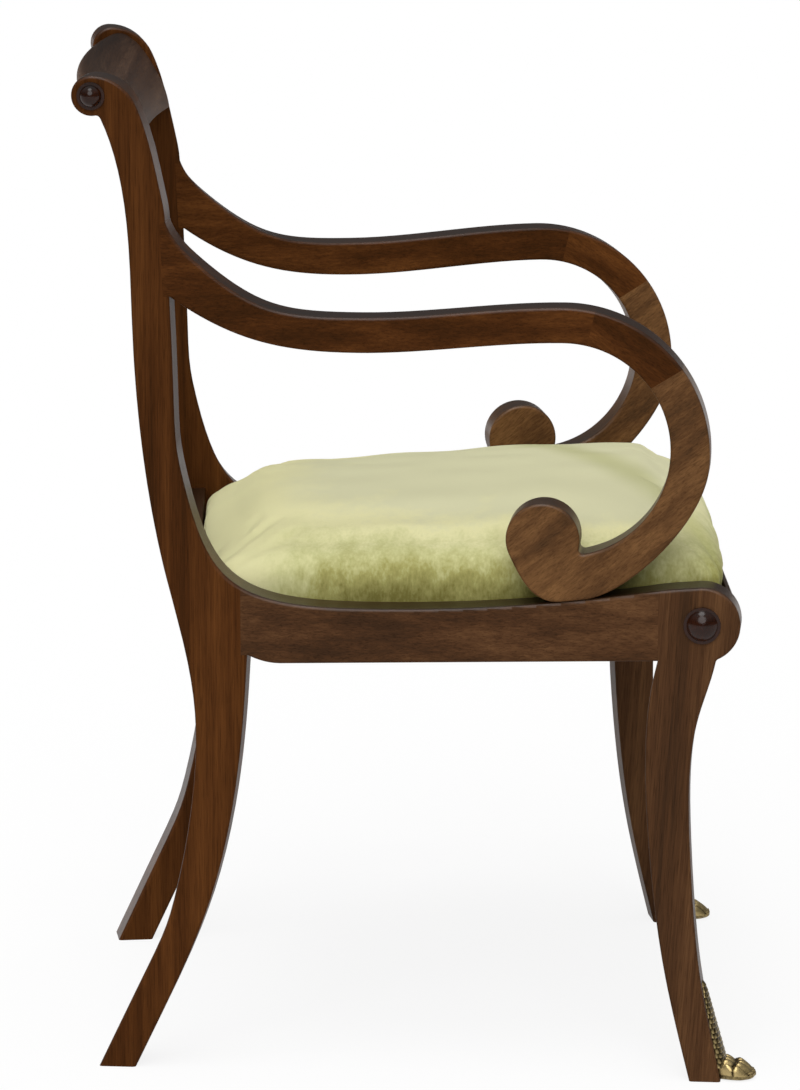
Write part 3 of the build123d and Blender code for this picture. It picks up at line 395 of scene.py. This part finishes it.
def closed_faces(rows, columns):
    """Faces of an upper grid, of a lower grid numbered after it, and of the wall between their rims."""
    index = np.arange(rows * columns).reshape(rows, columns)
    rim = np.concatenate([index[0, :-1], index[:-1, -1], index[-1, :0:-1], index[:0:-1, 0]])
    following = np.roll(rim, -1)
    count = rows * columns
    wall = np.stack([rim, following, following + count, rim + count], axis=1)
    upper = grid_faces(rows, columns)
    return np.concatenate([upper[:, ::-1], upper + count, wall])


def piece(name, shells, material, body):
    """One object from closed shells of (upper grid, lower grid), riding on a body."""
    points, faces, start = [], [], 0
    for upper, lower in shells:
        rows, columns = upper.shape[:2]
        points += [upper.reshape(-1, 3), lower.reshape(-1, 3)]
        faces.append(closed_faces(rows, columns) + start)
        start += 2 * rows * columns
    mesh = bpy.data.meshes.new(name)
    mesh.from_pydata(np.concatenate(points).tolist(), [], np.concatenate(faces).tolist())
    shape = bmesh.new()
    shape.from_mesh(mesh)
    bmesh.ops.recalc_face_normals(shape, faces=shape.faces)
    shape.to_mesh(mesh)
    shape.free()
    mesh.shade_smooth()
    mesh.materials.append(material)
    made = put(name, mesh)
    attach(made, body)
    return made


print("mesh helpers ready")

# %% [markdown]
# The seat's plan follows the side frames, which open towards the front, so its width grows with the distance
# ahead of the drawing's datum. Its corners are cut to quarter circles. Every layer of the seat uses this plan,
# drawn in by an inset of its own.

# %% Seat plan
DATUM = 0.005132
SIDE_OUTER, SIDE_THICK, SEAT_PLAY = 0.264, 0.036, 0.002
SEAT_REAR, SEAT_FRONT, SEAT_LOW = -0.184, 0.273, 0.39715


def climb(value, foot, run):
    """A straight climb: 0 up to the foot, 1 once the run is over, (value - foot) / run between."""
    return np.clip((value - foot) / run, 0.0, 1.0)


def quarter_round(gap, run):
    """Rise of a quarter circle: 0 at an end, 1 once the run is over, sqrt(1 - (1 - gap / run)^2) between."""
    return np.sqrt(1 - (1 - climb(gap, 0.0, run)) ** 2)


def clear_half(ahead):
    """Half the clear width between the side frames: outer + tan(splay) * ahead - thickness / cos(splay)."""
    return SIDE_OUTER + math.tan(SPLAY) * ahead - SIDE_THICK / math.cos(SPLAY)


def seat_outline(inset, corner, rows):
    """Places ahead, from rear to front and closer at both ends, and the plan's half width at each.

    Half width = clear_half - (play + inset) / cos(splay) - corner * (1 - quarter_round(gap, corner)), where gap
    is the distance from the nearer end.
    """
    rear, front = SEAT_REAR + inset, SEAT_FRONT - inset
    turn = np.linspace(0.0, np.pi, rows)[:, None]
    ahead = (rear + front) / 2 - (front - rear) / 2 * np.cos(turn)
    cut = corner * (1 - quarter_round(np.minimum(ahead - rear, front - ahead), corner))
    return ahead, clear_half(ahead) - (SEAT_PLAY + inset) / math.cos(SPLAY) - cut


def seat_plan(inset, corner, rows=48, columns=48):
    """Grid over the plan: distances aside and ahead, then the shares of the way across and along, from -1 to 1."""
    ahead, half = seat_outline(inset, corner, rows)
    across = np.linspace(-1.0, 1.0, columns)[None, :] + 0 * ahead
    along = np.cos(np.linspace(0.0, np.pi, rows))[:, None] + 0 * across
    return half * across, ahead + 0 * across, across, along


def at(aside, ahead, height):
    """World points from distances aside and ahead, and a height."""
    return np.stack(np.broadcast_arrays(aside, DATUM - ahead, height), axis=-1)


def slab(aside, ahead, middle, thickness):
    """Upper and lower grid of a thin sheet about a middle height."""
    return at(aside, ahead, middle + thickness / 2), at(aside, ahead, middle - thickness / 2)


print("clear width", round(2 * clear_half(SEAT_REAR), 4), "to", round(2 * clear_half(SEAT_FRONT), 4))

# %% [markdown]
# Under the stuffing lie straps of webbing, three each way. They are woven over and under each other, so each strap
# is a wave whose crests fall on its crossings, and neighbours wave the opposite way.

# %% Webbing
STRAP_HALF, STRAP_THICK, STRAP_LAYER, STRAP_RISE = 0.025, 0.0014, 0.41925, 0.0009
STRAP_SIDE_STEP, STRAP_ROW_STEP = 0.1105, 0.123
STRAP_END_GAP, STRAP_SIDE_GAP = 0.018, 0.0205
strap_sides = np.array([-1.0, 0.0, 1.0]) * STRAP_SIDE_STEP
strap_rows = np.array([-1.0, 0.0, 1.0]) * STRAP_ROW_STEP + (SEAT_REAR + SEAT_FRONT) / 2
run = np.linspace(0.0, 1.0, 90)[:, None]
breadth = np.linspace(-STRAP_HALF, STRAP_HALF, 9)[None, :]
lengthwise, crosswise = [], []
for count, (aside, ahead) in enumerate(zip(strap_sides, strap_rows)):
    rise = STRAP_RISE * (-1.0) ** count
    along = SEAT_REAR + STRAP_END_GAP + (SEAT_FRONT - SEAT_REAR - 2 * STRAP_END_GAP) * run
    wave = rise * np.cos(np.pi * (along - strap_rows[0]) / STRAP_ROW_STEP)
    lengthwise.append(slab(aside + breadth, along + 0 * breadth, STRAP_LAYER + wave, STRAP_THICK))
    across = (clear_half(ahead - STRAP_HALF) - STRAP_SIDE_GAP) * (2 * run - 1)
    wave = -rise * np.cos(np.pi * (across - strap_sides[0]) / STRAP_SIDE_STEP)
    crosswise.append(slab(across + 0 * breadth, ahead + breadth, STRAP_LAYER + wave, STRAP_THICK))
webbing = [
    piece("webbing_along", lengthwise, jute, "seat"),
    piece("webbing_across", crosswise, jute, "seat"),
]
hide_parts("webbing_lengthwise")
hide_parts("webbing_crosswise")
print("straps", len(lengthwise) + len(crosswise))

# %% [markdown]
# A sheet of hessian lies on the webbing and ripples a little over it. A black cloth closes the seat from below,
# and sags inside the frame. Both are stretched and tacked, so they are thin slabs over the plan.

# %% Hessian and dust cover
HESSIAN_INSET, HESSIAN_CORNER, HESSIAN_LEVEL, HESSIAN_THICK = 0.0043, 0.052, 0.4217, 0.0008
DUST_INSET, DUST_CORNER, DUST_LEVEL, DUST_THICK, DUST_SAG = 0.032, 0.013, 0.3969, 0.0007, 0.005


def dip(share):
    """Sag's share along one way of a sheet: (1 - (1.15 share)^2)^1.5, and 0 near the frame."""
    return np.clip(1 - (1.15 * share) ** 2, 0.0, 1.0) ** 1.5


aside, ahead = seat_plan(HESSIAN_INSET, HESSIAN_CORNER)[:2]
ripple = 0.0002 * np.sin(60 * aside) * np.sin(55 * ahead)
hessian_layer = slab(aside, ahead, HESSIAN_LEVEL + ripple, HESSIAN_THICK)
hessian_sheet = piece("hessian_sheet", [hessian_layer], jute, "seat")
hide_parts("hessian")

aside, ahead, across, along = seat_plan(DUST_INSET, DUST_CORNER)
dust_layer = slab(aside, ahead, DUST_LEVEL - DUST_SAG * dip(across) * dip(along), DUST_THICK)
dust_sheet = piece("dust_sheet", [dust_layer], calico, "seat")
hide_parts("dust_cover")
print("sheets", hessian_sheet.name, dust_sheet.name)

# %% [markdown]
# The stuffed seat starts as a plain closed form, a little small: a flat crown arc across with round shoulders, and
# quarter rounds to a low upright face at the rear and the front. The form is remeshed into even squares, because
# cloth moves best on those.

# %% Seat form
CUSHION_INSET, CUSHION_TOP, CUSHION_CORNER = 0.0010, 0.0085, 0.020
END_FACE, REAR_ROUND, FRONT_ROUND = 0.044, 0.120, 0.052
CROWN_REAR, CROWN_FRONT, CROWN_RUN = 0.0937, 0.1057, 0.184
CROWN_SAG, SHOULDER, RIM_STEP = 0.034, 0.036, 0.0002
FRONT_SWELL, SWELL_FOOT, SWELL_RISE, SWELL_RUN = 0.006, 0.034, 0.012, 0.06


def cushion_form(rows=181):
    """Upper and lower grid of the seat.

    Across, from the middle out: a crown arc of radius (half^2 + sag^2) / (2 sag), a shoulder arc that touches it
    from inside, and a straight side down to the hem. Along, the crown climbs to the front and falls to the end
    faces by quarter rounds, and the front swells forward over the rail's lip.
    """
    rear, front = SEAT_REAR + CUSHION_INSET, SEAT_FRONT - CUSHION_INSET
    ahead, half = seat_outline(CUSHION_INSET, CUSHION_CORNER, rows)
    rise = (CROWN_FRONT - CROWN_REAR) * climb(ahead, SEAT_REAR + REAR_ROUND, CROWN_RUN)
    full = CROWN_REAR + rise - CUSHION_TOP
    ends = quarter_round(ahead - rear, REAR_ROUND) * quarter_round(front - ahead, FRONT_ROUND)
    crown = END_FACE + (full - END_FACE) * ends
    sag, bend = CROWN_SAG * crown / CROWN_FRONT, SHOULDER * crown / CROWN_FRONT
    radius = (half**2 + sag**2) / (2 * sag)
    drop = np.sqrt((radius - bend) ** 2 - (half - bend) ** 2)
    touch = np.arctan2(half - bend, drop)
    over = touch * np.linspace(0.0, 1.0, 51)
    turn = touch + (QUARTER - touch) * np.linspace(0.0, 1.0, 24)[1:]
    down = np.linspace(0.0, 1.0, 12)[1:]
    middle = crown - radius
    out = [radius * np.sin(over), half - bend + bend * np.sin(turn), half + 0 * down]
    high = [middle + radius * np.cos(over), middle + drop + bend * np.cos(turn), (middle + drop) * (1 - down)]
    aside, height = np.concatenate(out, axis=1), np.concatenate(high, axis=1)
    aside = np.concatenate([-aside[:, :0:-1], aside], axis=1)
    height = np.concatenate([height[:, :0:-1], height], axis=1)
    swell = climb(height, SWELL_FOOT, SWELL_RISE) * (1 - climb(front - ahead, 0.0, SWELL_RUN))
    upper = at(aside, ahead + FRONT_SWELL * swell, SEAT_LOW + RIM_STEP + height)
    return upper, at(aside, ahead, SEAT_LOW)


def shaped(mesh, kind, **settings):
    """A copy of a mesh with one modifier applied."""
    carrier = put("carrier", mesh)
    modifier = carrier.modifiers.new("shape", kind)
    for key, value in settings.items():
        setattr(modifier, key, value)
    made = bpy.data.meshes.new_from_object(carrier.evaluated_get(bpy.context.evaluated_depsgraph_get()))
    bpy.data.objects.remove(carrier)
    return made


upper, lower = cushion_form()
corners = np.concatenate([upper.reshape(-1, 3), lower.reshape(-1, 3)])
plain = bpy.data.meshes.new("seat_form")
plain.from_pydata(corners.tolist(), [], closed_faces(*upper.shape[:2]).tolist())
even = shaped(plain, "REMESH", mode="VOXEL", voxel_size=0.006, use_smooth_shade=True)
print("seat form", len(even.vertices), "points")

# %% [markdown]
# The form is blown up as cloth with its underside pinned, which draws the velvet tight over the stuffing. That
# moves every point outwards, by at most a set distance. A side that would reach a rail is held back, and only over
# the rails' top edges may the stuffing swell.

# %% Seat blown up
BLOW_STEPS, BLOW_PRESSURE, BLOW_CAP, PINNED_BAND = 20, 4.0, 0.008, 0.003
CLOTH_QUALITY, CLOTH_MASS = 5, 0.3
SIDE_ROOM, FRONT_ROOM, REAR_ROOM = 0.0012, 0.0120, 0.0080
FRONT_LIP, FRONT_LIP_RISE, REAR_LIP, REAR_LIP_RISE = 0.4318, 0.008, 0.4405, 0.012


def rows_of(mesh, key):
    """Vertex places ("co") or outward directions ("normal") as an array of rows."""
    flat = np.empty(3 * len(mesh.vertices))
    mesh.vertices.foreach_get(key, flat)
    return flat.reshape(-1, 3)


def blown(mesh):
    """Places of the mesh's points after some steps as cloth under pressure, its underside pinned.

    Place = start + n * swell, where swell is the cloth's way along the outward normal n, from 0 to the cap.
    """
    start, outward = rows_of(mesh, "co"), rows_of(mesh, "normal")
    carrier = put("blown_seat", mesh.copy())
    underside = np.flatnonzero(start[:, 2] < SEAT_LOW + PINNED_BAND)
    carrier.vertex_groups.new(name="pinned").add(underside.tolist(), 1.0, "REPLACE")
    cloth = carrier.modifiers.new("cloth", "CLOTH")
    cloth.settings.quality = CLOTH_QUALITY
    cloth.settings.mass = CLOTH_MASS
    cloth.settings.vertex_group_mass = "pinned"
    cloth.settings.use_pressure = True
    cloth.settings.uniform_pressure_force = BLOW_PRESSURE
    cloth.settings.effector_weights.gravity = 0.0
    for step in range(1, BLOW_STEPS + 1):
        bpy.context.scene.frame_set(step)
    result = bpy.data.meshes.new_from_object(carrier.evaluated_get(bpy.context.evaluated_depsgraph_get()))
    moved = rows_of(result, "co") - start
    bpy.data.objects.remove(carrier)
    bpy.context.scene.frame_set(1)
    swell = np.clip((moved * outward).sum(axis=1), 0.0, BLOW_CAP)
    return start + outward * swell[:, None]


def kept_clear(points):
    """Points held inside the rails: aside by the side frames' clear width, and ahead by the two cross rails.

    Over a cross rail's top edge the stuffing may swell by the lip's room.
    """
    kept = points.copy()
    front_room = SIDE_ROOM + FRONT_ROOM * climb(points[:, 2], FRONT_LIP, FRONT_LIP_RISE)
    rear_room = SIDE_ROOM + REAR_ROOM * climb(points[:, 2], REAR_LIP, REAR_LIP_RISE)
    ahead = np.clip(DATUM - points[:, 1], SEAT_REAR - rear_room, SEAT_FRONT + front_room)
    limit = clear_half(ahead) - SIDE_ROOM
    kept[:, 0] = np.clip(points[:, 0], -limit, limit)
    kept[:, 1] = DATUM - ahead
    kept[:, 2] = np.maximum(points[:, 2], SEAT_LOW)
    return kept


swollen = even.copy()
swollen.vertices.foreach_set("co", kept_clear(blown(even)).ravel())
fine = shaped(swollen, "SUBSURF", levels=1, render_levels=1)
print("seat skin", len(fine.vertices), "points")

# %% [markdown]
# The corners get the folds that an upholsterer lays there: narrow creases that fan out from each corner and fade
# over the top. Soft uneven waves of stuffing run over the whole surface. Both are pushed into the skin along its
# own directions, in whole arrays. Then the skin becomes one padded piece, which stands for the cover and the pad
# of the solid model together.

# %% Seat folds
FOLD_TURNS, FOLD_WIDTH, FOLD_REACH, FOLD_DEPTH = np.radians([22.0, 45.0, 66.0]), 0.085, 0.085, 0.0032
FOLD_BACK, FOLD_ASIDE, FOLD_FOOT, FOLD_RISE = 0.012, 0.010, 0.004, 0.03
WAVE_HEIGHT, WAVE_RISE = 0.0004, 0.02


def bell(value, middle, width):
    """A bell curve: exp(-((value - middle) / width)^2)."""
    return np.exp(-(((value - middle) / width) ** 2))


def folds(points):
    """Depth of the corner folds: at each corner a sum of bells over the folds' angles.

    It is multiplied by the height above the hem and by a bell of the distance from the corner.
    """
    depth = np.zeros(len(points))
    for end, sign in ((SEAT_REAR, 1.0), (SEAT_FRONT, -1.0)):
        gone = sign * (DATUM - points[:, 1] - end) + FOLD_BACK
        inward = clear_half(end) + FOLD_ASIDE - np.abs(points[:, 0])
        angle = np.arctan2(np.maximum(gone, 0.0), np.maximum(inward, 1e-6))
        fan = bell(angle[:, None], FOLD_TURNS, FOLD_WIDTH).sum(axis=1)
        depth += fan * bell(np.hypot(gone, inward), 0.0, FOLD_REACH)
    return FOLD_DEPTH * depth * climb(points[:, 2], SEAT_LOW + FOLD_FOOT, FOLD_RISE)


def waves(points):
    """Uneven stuffing: three crossing sines of 60 to 80 mm, about a millimetre high where they add up."""
    x, y, z = points.T
    crossing = np.sin(95 * x + 3 * y) + np.sin(70 * y + 40 * x + 1.3) + np.sin(60 * y - 75 * x + 90 * z)
    return WAVE_HEIGHT * crossing * climb(z, SEAT_LOW, WAVE_RISE)


skin = rows_of(fine, "co")
skin = kept_clear(skin + rows_of(fine, "normal") * (waves(skin) - folds(skin))[:, None])
fine.vertices.foreach_set("co", skin.ravel())
fine.update()
fine.shade_smooth()
fine.name = "velvet_seat"
velvet_seat = put("velvet_seat", fine)
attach(velvet_seat, "seat")
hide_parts("seat_cover", "seat_pad")
print("seat top", round(float(skin[:, 2].max()), 4), "half width", round(float(skin[:, 0].max()), 4))

# %% [markdown]
# Velvet is a pile: seen along the hairs it is pale, seen into them it is deep. That sheen is painted into the
# colour
# by height: the top is a pale straw green, and the sides fall to olive, where the pile is also crushed into short
# upright streaks. The change follows the height, pushed up and down by cloudy noise. Towards the rear the pile is
# brushed up and pale, and a painted shadow of the arm darkens one band across the top.

# %% Velvet
# painted shadow of the arm: a darker band along a line across the top of the seat
ARM_SHADOW_WAY, ARM_SHADOW_PLACE, ARM_SHADOW_HALF = (-0.371, 0.928, 0.0), 0.1624, 0.034
ARM_SHADOW_TINT = (0.80, 0.81, 0.68, 1.0)
BRUSHED_SHADE = 0.84
SHEEN = {"Sheen_Weight": 0.18, "Sheen_Roughness": 0.45, "Sheen_Tint": colour(236, 232, 200)}
# from the crushed olive sides to the pale top; picking them by height paints the velvet's sheen
PILE_AND_SHEEN_SHADES = (
    (0.12, (120, 114, 58)),
    (0.40, (160, 156, 94)),
    (0.66, (196, 195, 140)),
    (0.86, (222, 218, 168)),
    (1.00, (208, 206, 168)),
)


def velvet():
    """Pile cloth with a soft sheen.

    Shade = 0.86 height (a painted sheen) + 0.34 clouds + mottle + 0.06 hairs, where mottle is crushed patches
    and upright streaks, strongest low down. It goes over to one brushed shade towards the rear, and a painted
    shadow of the arm darkens a band across it.
    """
    pile, shader = finish("green_velvet", Roughness=0.85, Specular_IOR_Level=0.1, **SHEEN)
    place = add(pile, "TexCoord", {}).outputs["Object"]
    ways = add(pile, "SeparateXYZ", {"Vector": place}).outputs
    # painted sheen: the colour grows pale with height
    level = mapped(pile, ways["Z"], (0.421, 0.492))
    clouds, hairs = noise(pile, place, 22.0, 3.0), noise(pile, place, 1600.0, 1.0)
    streaks = noise(pile, place, (420, 420, 170), 2.0)
    patches = noise(pile, place, (80, 80, 60), 5.0, 0.65)
    low = mapped(pile, level, (0.25, 0.95), (1.0, 0.06))
    uneven = add(pile, "Math", {0: total(pile, (patches, 0.80), (streaks, 0.35)), 1: -0.60}).outputs[0]
    mottle = add(pile, "Math", {0: uneven, 1: low}, operation="MULTIPLY").outputs[0]
    pile_and_sheen = total(pile, (level, 0.86), (clouds, 0.34), (mottle, 1.0), (hairs, 0.06))
    back = total(pile, (ways["Y"], 1.0), (patches, 0.04))
    brushed = mapped(pile, back, (0.075, 0.175), interpolation_type="SMOOTHSTEP")
    shades = {"Factor": brushed, "A": pile_and_sheen, "B": BRUSHED_SHADE}
    shade = add(pile, "Mix", shades, data_type="FLOAT").outputs["Result"]
    face = ramp(pile, shade, *[(spot, colour(*shown)) for spot, shown in PILE_AND_SHEEN_SHADES])
    # painted shadow of the arm: a darker band about a line across the top
    across = add(pile, "VectorMath", {0: place, 1: ARM_SHADOW_WAY}, operation="DOT_PRODUCT").outputs["Value"]
    off = add(pile, "Math", {0: across, 1: ARM_SHADOW_PLACE}).outputs[0]
    beside = add(pile, "Math", {0: off}, operation="ABSOLUTE").outputs[0]
    arm_shadow = mapped(pile, beside, (0.0, ARM_SHADOW_HALF), (1.0, 0.0), interpolation_type="SMOOTHSTEP")
    tints = {"Factor": arm_shadow, "A": face, "B": ARM_SHADOW_TINT}
    arm_shadowed = add(pile, "Mix", tints, data_type="RGBA", blend_type="MULTIPLY").outputs["Result"]
    relief = bump(pile, 0.35, 0.0006, total(pile, (streaks, 0.5), (hairs, 0.5)))
    wire(pile, shader, Base_Color=arm_shadowed, Normal=relief)
    return pile


fine.materials.clear()
fine.materials.append(velvet())
print("velvet", len(PILE_AND_SHEEN_SHADES), "shades")

# %% [markdown]
# A cast brass paw caps each front foot. A shank of fur locks climbs the leg's front edge, whose curve is felt out
# with rays that pass beside the pins. The rays start well ahead of the leg, at many heights, and the hits are read
# as distances along the side frame.

# %% Leg's front edge
ALONG = np.array([-math.sin(SPLAY), -math.cos(SPLAY), 0.0])
OUTWARD = np.array([-math.cos(SPLAY), math.sin(SPLAY), 0.0])
UP = np.array([0.0, 0.0, 1.0])
SIDE_ORIGIN = np.array([-SIDE_OUTER, DATUM, 0.0])
RAY_START, RAY_DEPTH = 0.35, 0.010


def in_side(along, depth, height):
    """World points of the right side frame: along it, inward from its outer face, and up."""
    along, depth, height = np.broadcast_arrays(along, depth, height)
    return SIDE_ORIGIN + along[..., None] * ALONG - depth[..., None] * OUTWARD + height[..., None] * UP


leg_heights = np.linspace(0.001, 0.095, 48)
leg = nodes["front_leg_right"]
starts = in_side(RAY_START, RAY_DEPTH, leg_heights).tolist()
leg_hits = np.array([list(leg.ray_cast(start, (-ALONG).tolist())[1]) for start in starts])
leg_fronts = (leg_hits - SIDE_ORIGIN) @ ALONG


def leg_front(height):
    """Place of the leg's front edge at a height, read between the rays' hits."""
    return np.interp(height, leg_heights, leg_fronts)


print("leg's front edge", round(float(leg_fronts.min()), 4), "to", round(float(leg_fronts.max()), 4))

# %% [markdown]
# The fur is cast as rows of locks that overlap like tiles, each row set off from the next by half a lock. They
# stand on half an ellipse that wraps the leg's front and tapers to a round tip.

# %% Paw shank
PAW_MIDDLE, SHANK_FOOT, SHANK_TOP, SHANK_HALF = 0.018, 0.012, 0.087, 0.0150
SHANK_THICK, SHANK_THINNING, LOCK_HEIGHT = 0.0084, 0.0058, 0.0009
FUR_ROWS, FUR_LANES = 17, 6.5
SKIN = 0.0001


def fur(up, round_it):
    """Overlapping locks in offset rows: each is high at its root and runs out to a point."""
    row = up * FUR_ROWS
    lane = round_it * FUR_LANES + 0.5 * (np.floor(row) % 2)
    return (1 - row % 1) ** 0.7 * (1 - np.abs(2 * (lane % 1) - 1) ** 1.6)


def paw_shank(rows=180, columns=65):
    """Front and back grid of the fur strip up the leg, and the locks' height.

    Half an ellipse over the leg's front: depth = middle + width * cos t, along = front + thick * (sin t)^0.8. Width
    and thickness shrink upwards and close to a round tip at the top.
    """
    up = np.linspace(0.0, 1.0, rows)[:, None]
    sweep = np.linspace(0.0, np.pi, columns)[None, :]
    height = SHANK_FOOT + (SHANK_TOP - SHANK_FOOT) * up
    width = SHANK_HALF * np.sqrt(np.clip(1 - up**6, 0.0, 1.0)) * (1 - 0.35 * up) + 0.0008
    thick = (SHANK_THICK - SHANK_THINNING * up) * np.sqrt(np.clip(1 - up**14, 0.0, 1.0))
    locks = fur(up, sweep / np.pi)
    front = leg_front(height) + SKIN
    along = front + (thick + LOCK_HEIGHT * locks) * np.sin(sweep) ** 0.8
    depth = PAW_MIDDLE + width * np.cos(sweep)
    back = in_side(front + 0 * sweep, depth, height)
    return in_side(np.maximum(along, front + SKIN), depth, height), back, locks


shank_front, shank_back, locks = paw_shank()
print("shank", shank_front.shape[:2], "points")

# %% [markdown]
# Four knuckled toes spread under the shank. Each is a lobe of a rounded height field, creased behind its joint.
# The grooves keep a dark patina, held as a vertex attribute that the brass reads. The left paw is the right one's
# mirror image.

# %% Toes and paws
PAW_LENGTH, TOE_PITCH, TOE_CREASE = 0.0315, 0.0082, 16.2
MIRROR = np.array([-1.0, 1.0, 1.0])


def paw_toes(rows=110, columns=121):
    """Upper and lower grid of four toes, and how bare of patina they are.

    With g the groove between toes, r the share of the length and w across: height = bulge(r) * (1 - 0.34 g) * (1 -
    w^5)^(1/2.4), where bulge is a rounded end with a knuckle, a crease and a toe joint, in millimetres.
    """
    reach = np.linspace(0.0, 1.0, rows)[:, None]
    across = np.linspace(-1.0, 1.0, columns)[None, :]
    half = 0.0135 + 0.0042 * np.sin(np.pi * np.clip(reach * 0.8, 0, 1)) - 0.003 * reach**6
    off = half * across
    groove = (1 - np.abs(np.cos(np.pi * off / TOE_PITCH))) ** 2
    tip = PAW_LENGTH - 0.0045 * (off / 0.013) ** 2 - 0.0028 * groove
    run = 1000 * PAW_LENGTH * reach
    bulge = 16.0 * np.clip(1 - reach**3.4, 0.0, 1.0) ** (1 / 2.2)
    bulge = bulge + 2.4 * bell(run, 9, 4.0) - 1.6 * bell(run, TOE_CREASE, 2.2)
    bulge = (bulge + 1.4 * bell(run, 21.5, 3.6) + 5.0 * bell(run, 0, 4.0)) / 1000
    spread = climb(run, 3, 7)
    crest = (1 - np.abs(across) ** 5) ** (1 / 2.4)
    rim = 0.0062 - 0.0015 * reach
    high = rim + 0.0003 + (np.maximum(bulge, 0.007) - rim) * crest * (1 - 0.34 * groove * spread)
    high = np.where(reach > 0.999, rim + 0.0003, high)
    low = rim - 0.0003 - (rim - 0.0006) * (1 - across**6) ** 0.5 * np.clip(1 - reach**8, 0, 1) ** 0.5
    upper, lower = [in_side(leg_front(z) + 2 * SKIN + reach * tip, PAW_MIDDLE + off, z) for z in (high, low)]
    return upper, lower, 1 - np.clip(groove * spread + bell(run, TOE_CREASE, 1.6), 0, 1)


toes_top, toes_under, polish = paw_toes()
relief = np.concatenate([locks.ravel(), 0 * locks.ravel(), polish.ravel(), 0.4 + 0 * polish.ravel()])
for side, flip in (("right", np.ones(3)), ("left", MIRROR)):
    shells = [(shank_front * flip, shank_back * flip), (toes_top * flip, toes_under * flip)]
    paw = piece("cast_paw_" + side, shells, antique_brass, "frame")
    worn = paw.data.attributes.new("relief", "FLOAT", "POINT")
    worn.data.foreach_set("value", relief)
    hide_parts("paw_foot_" + side)
print("paws", 2, "points each", len(relief))
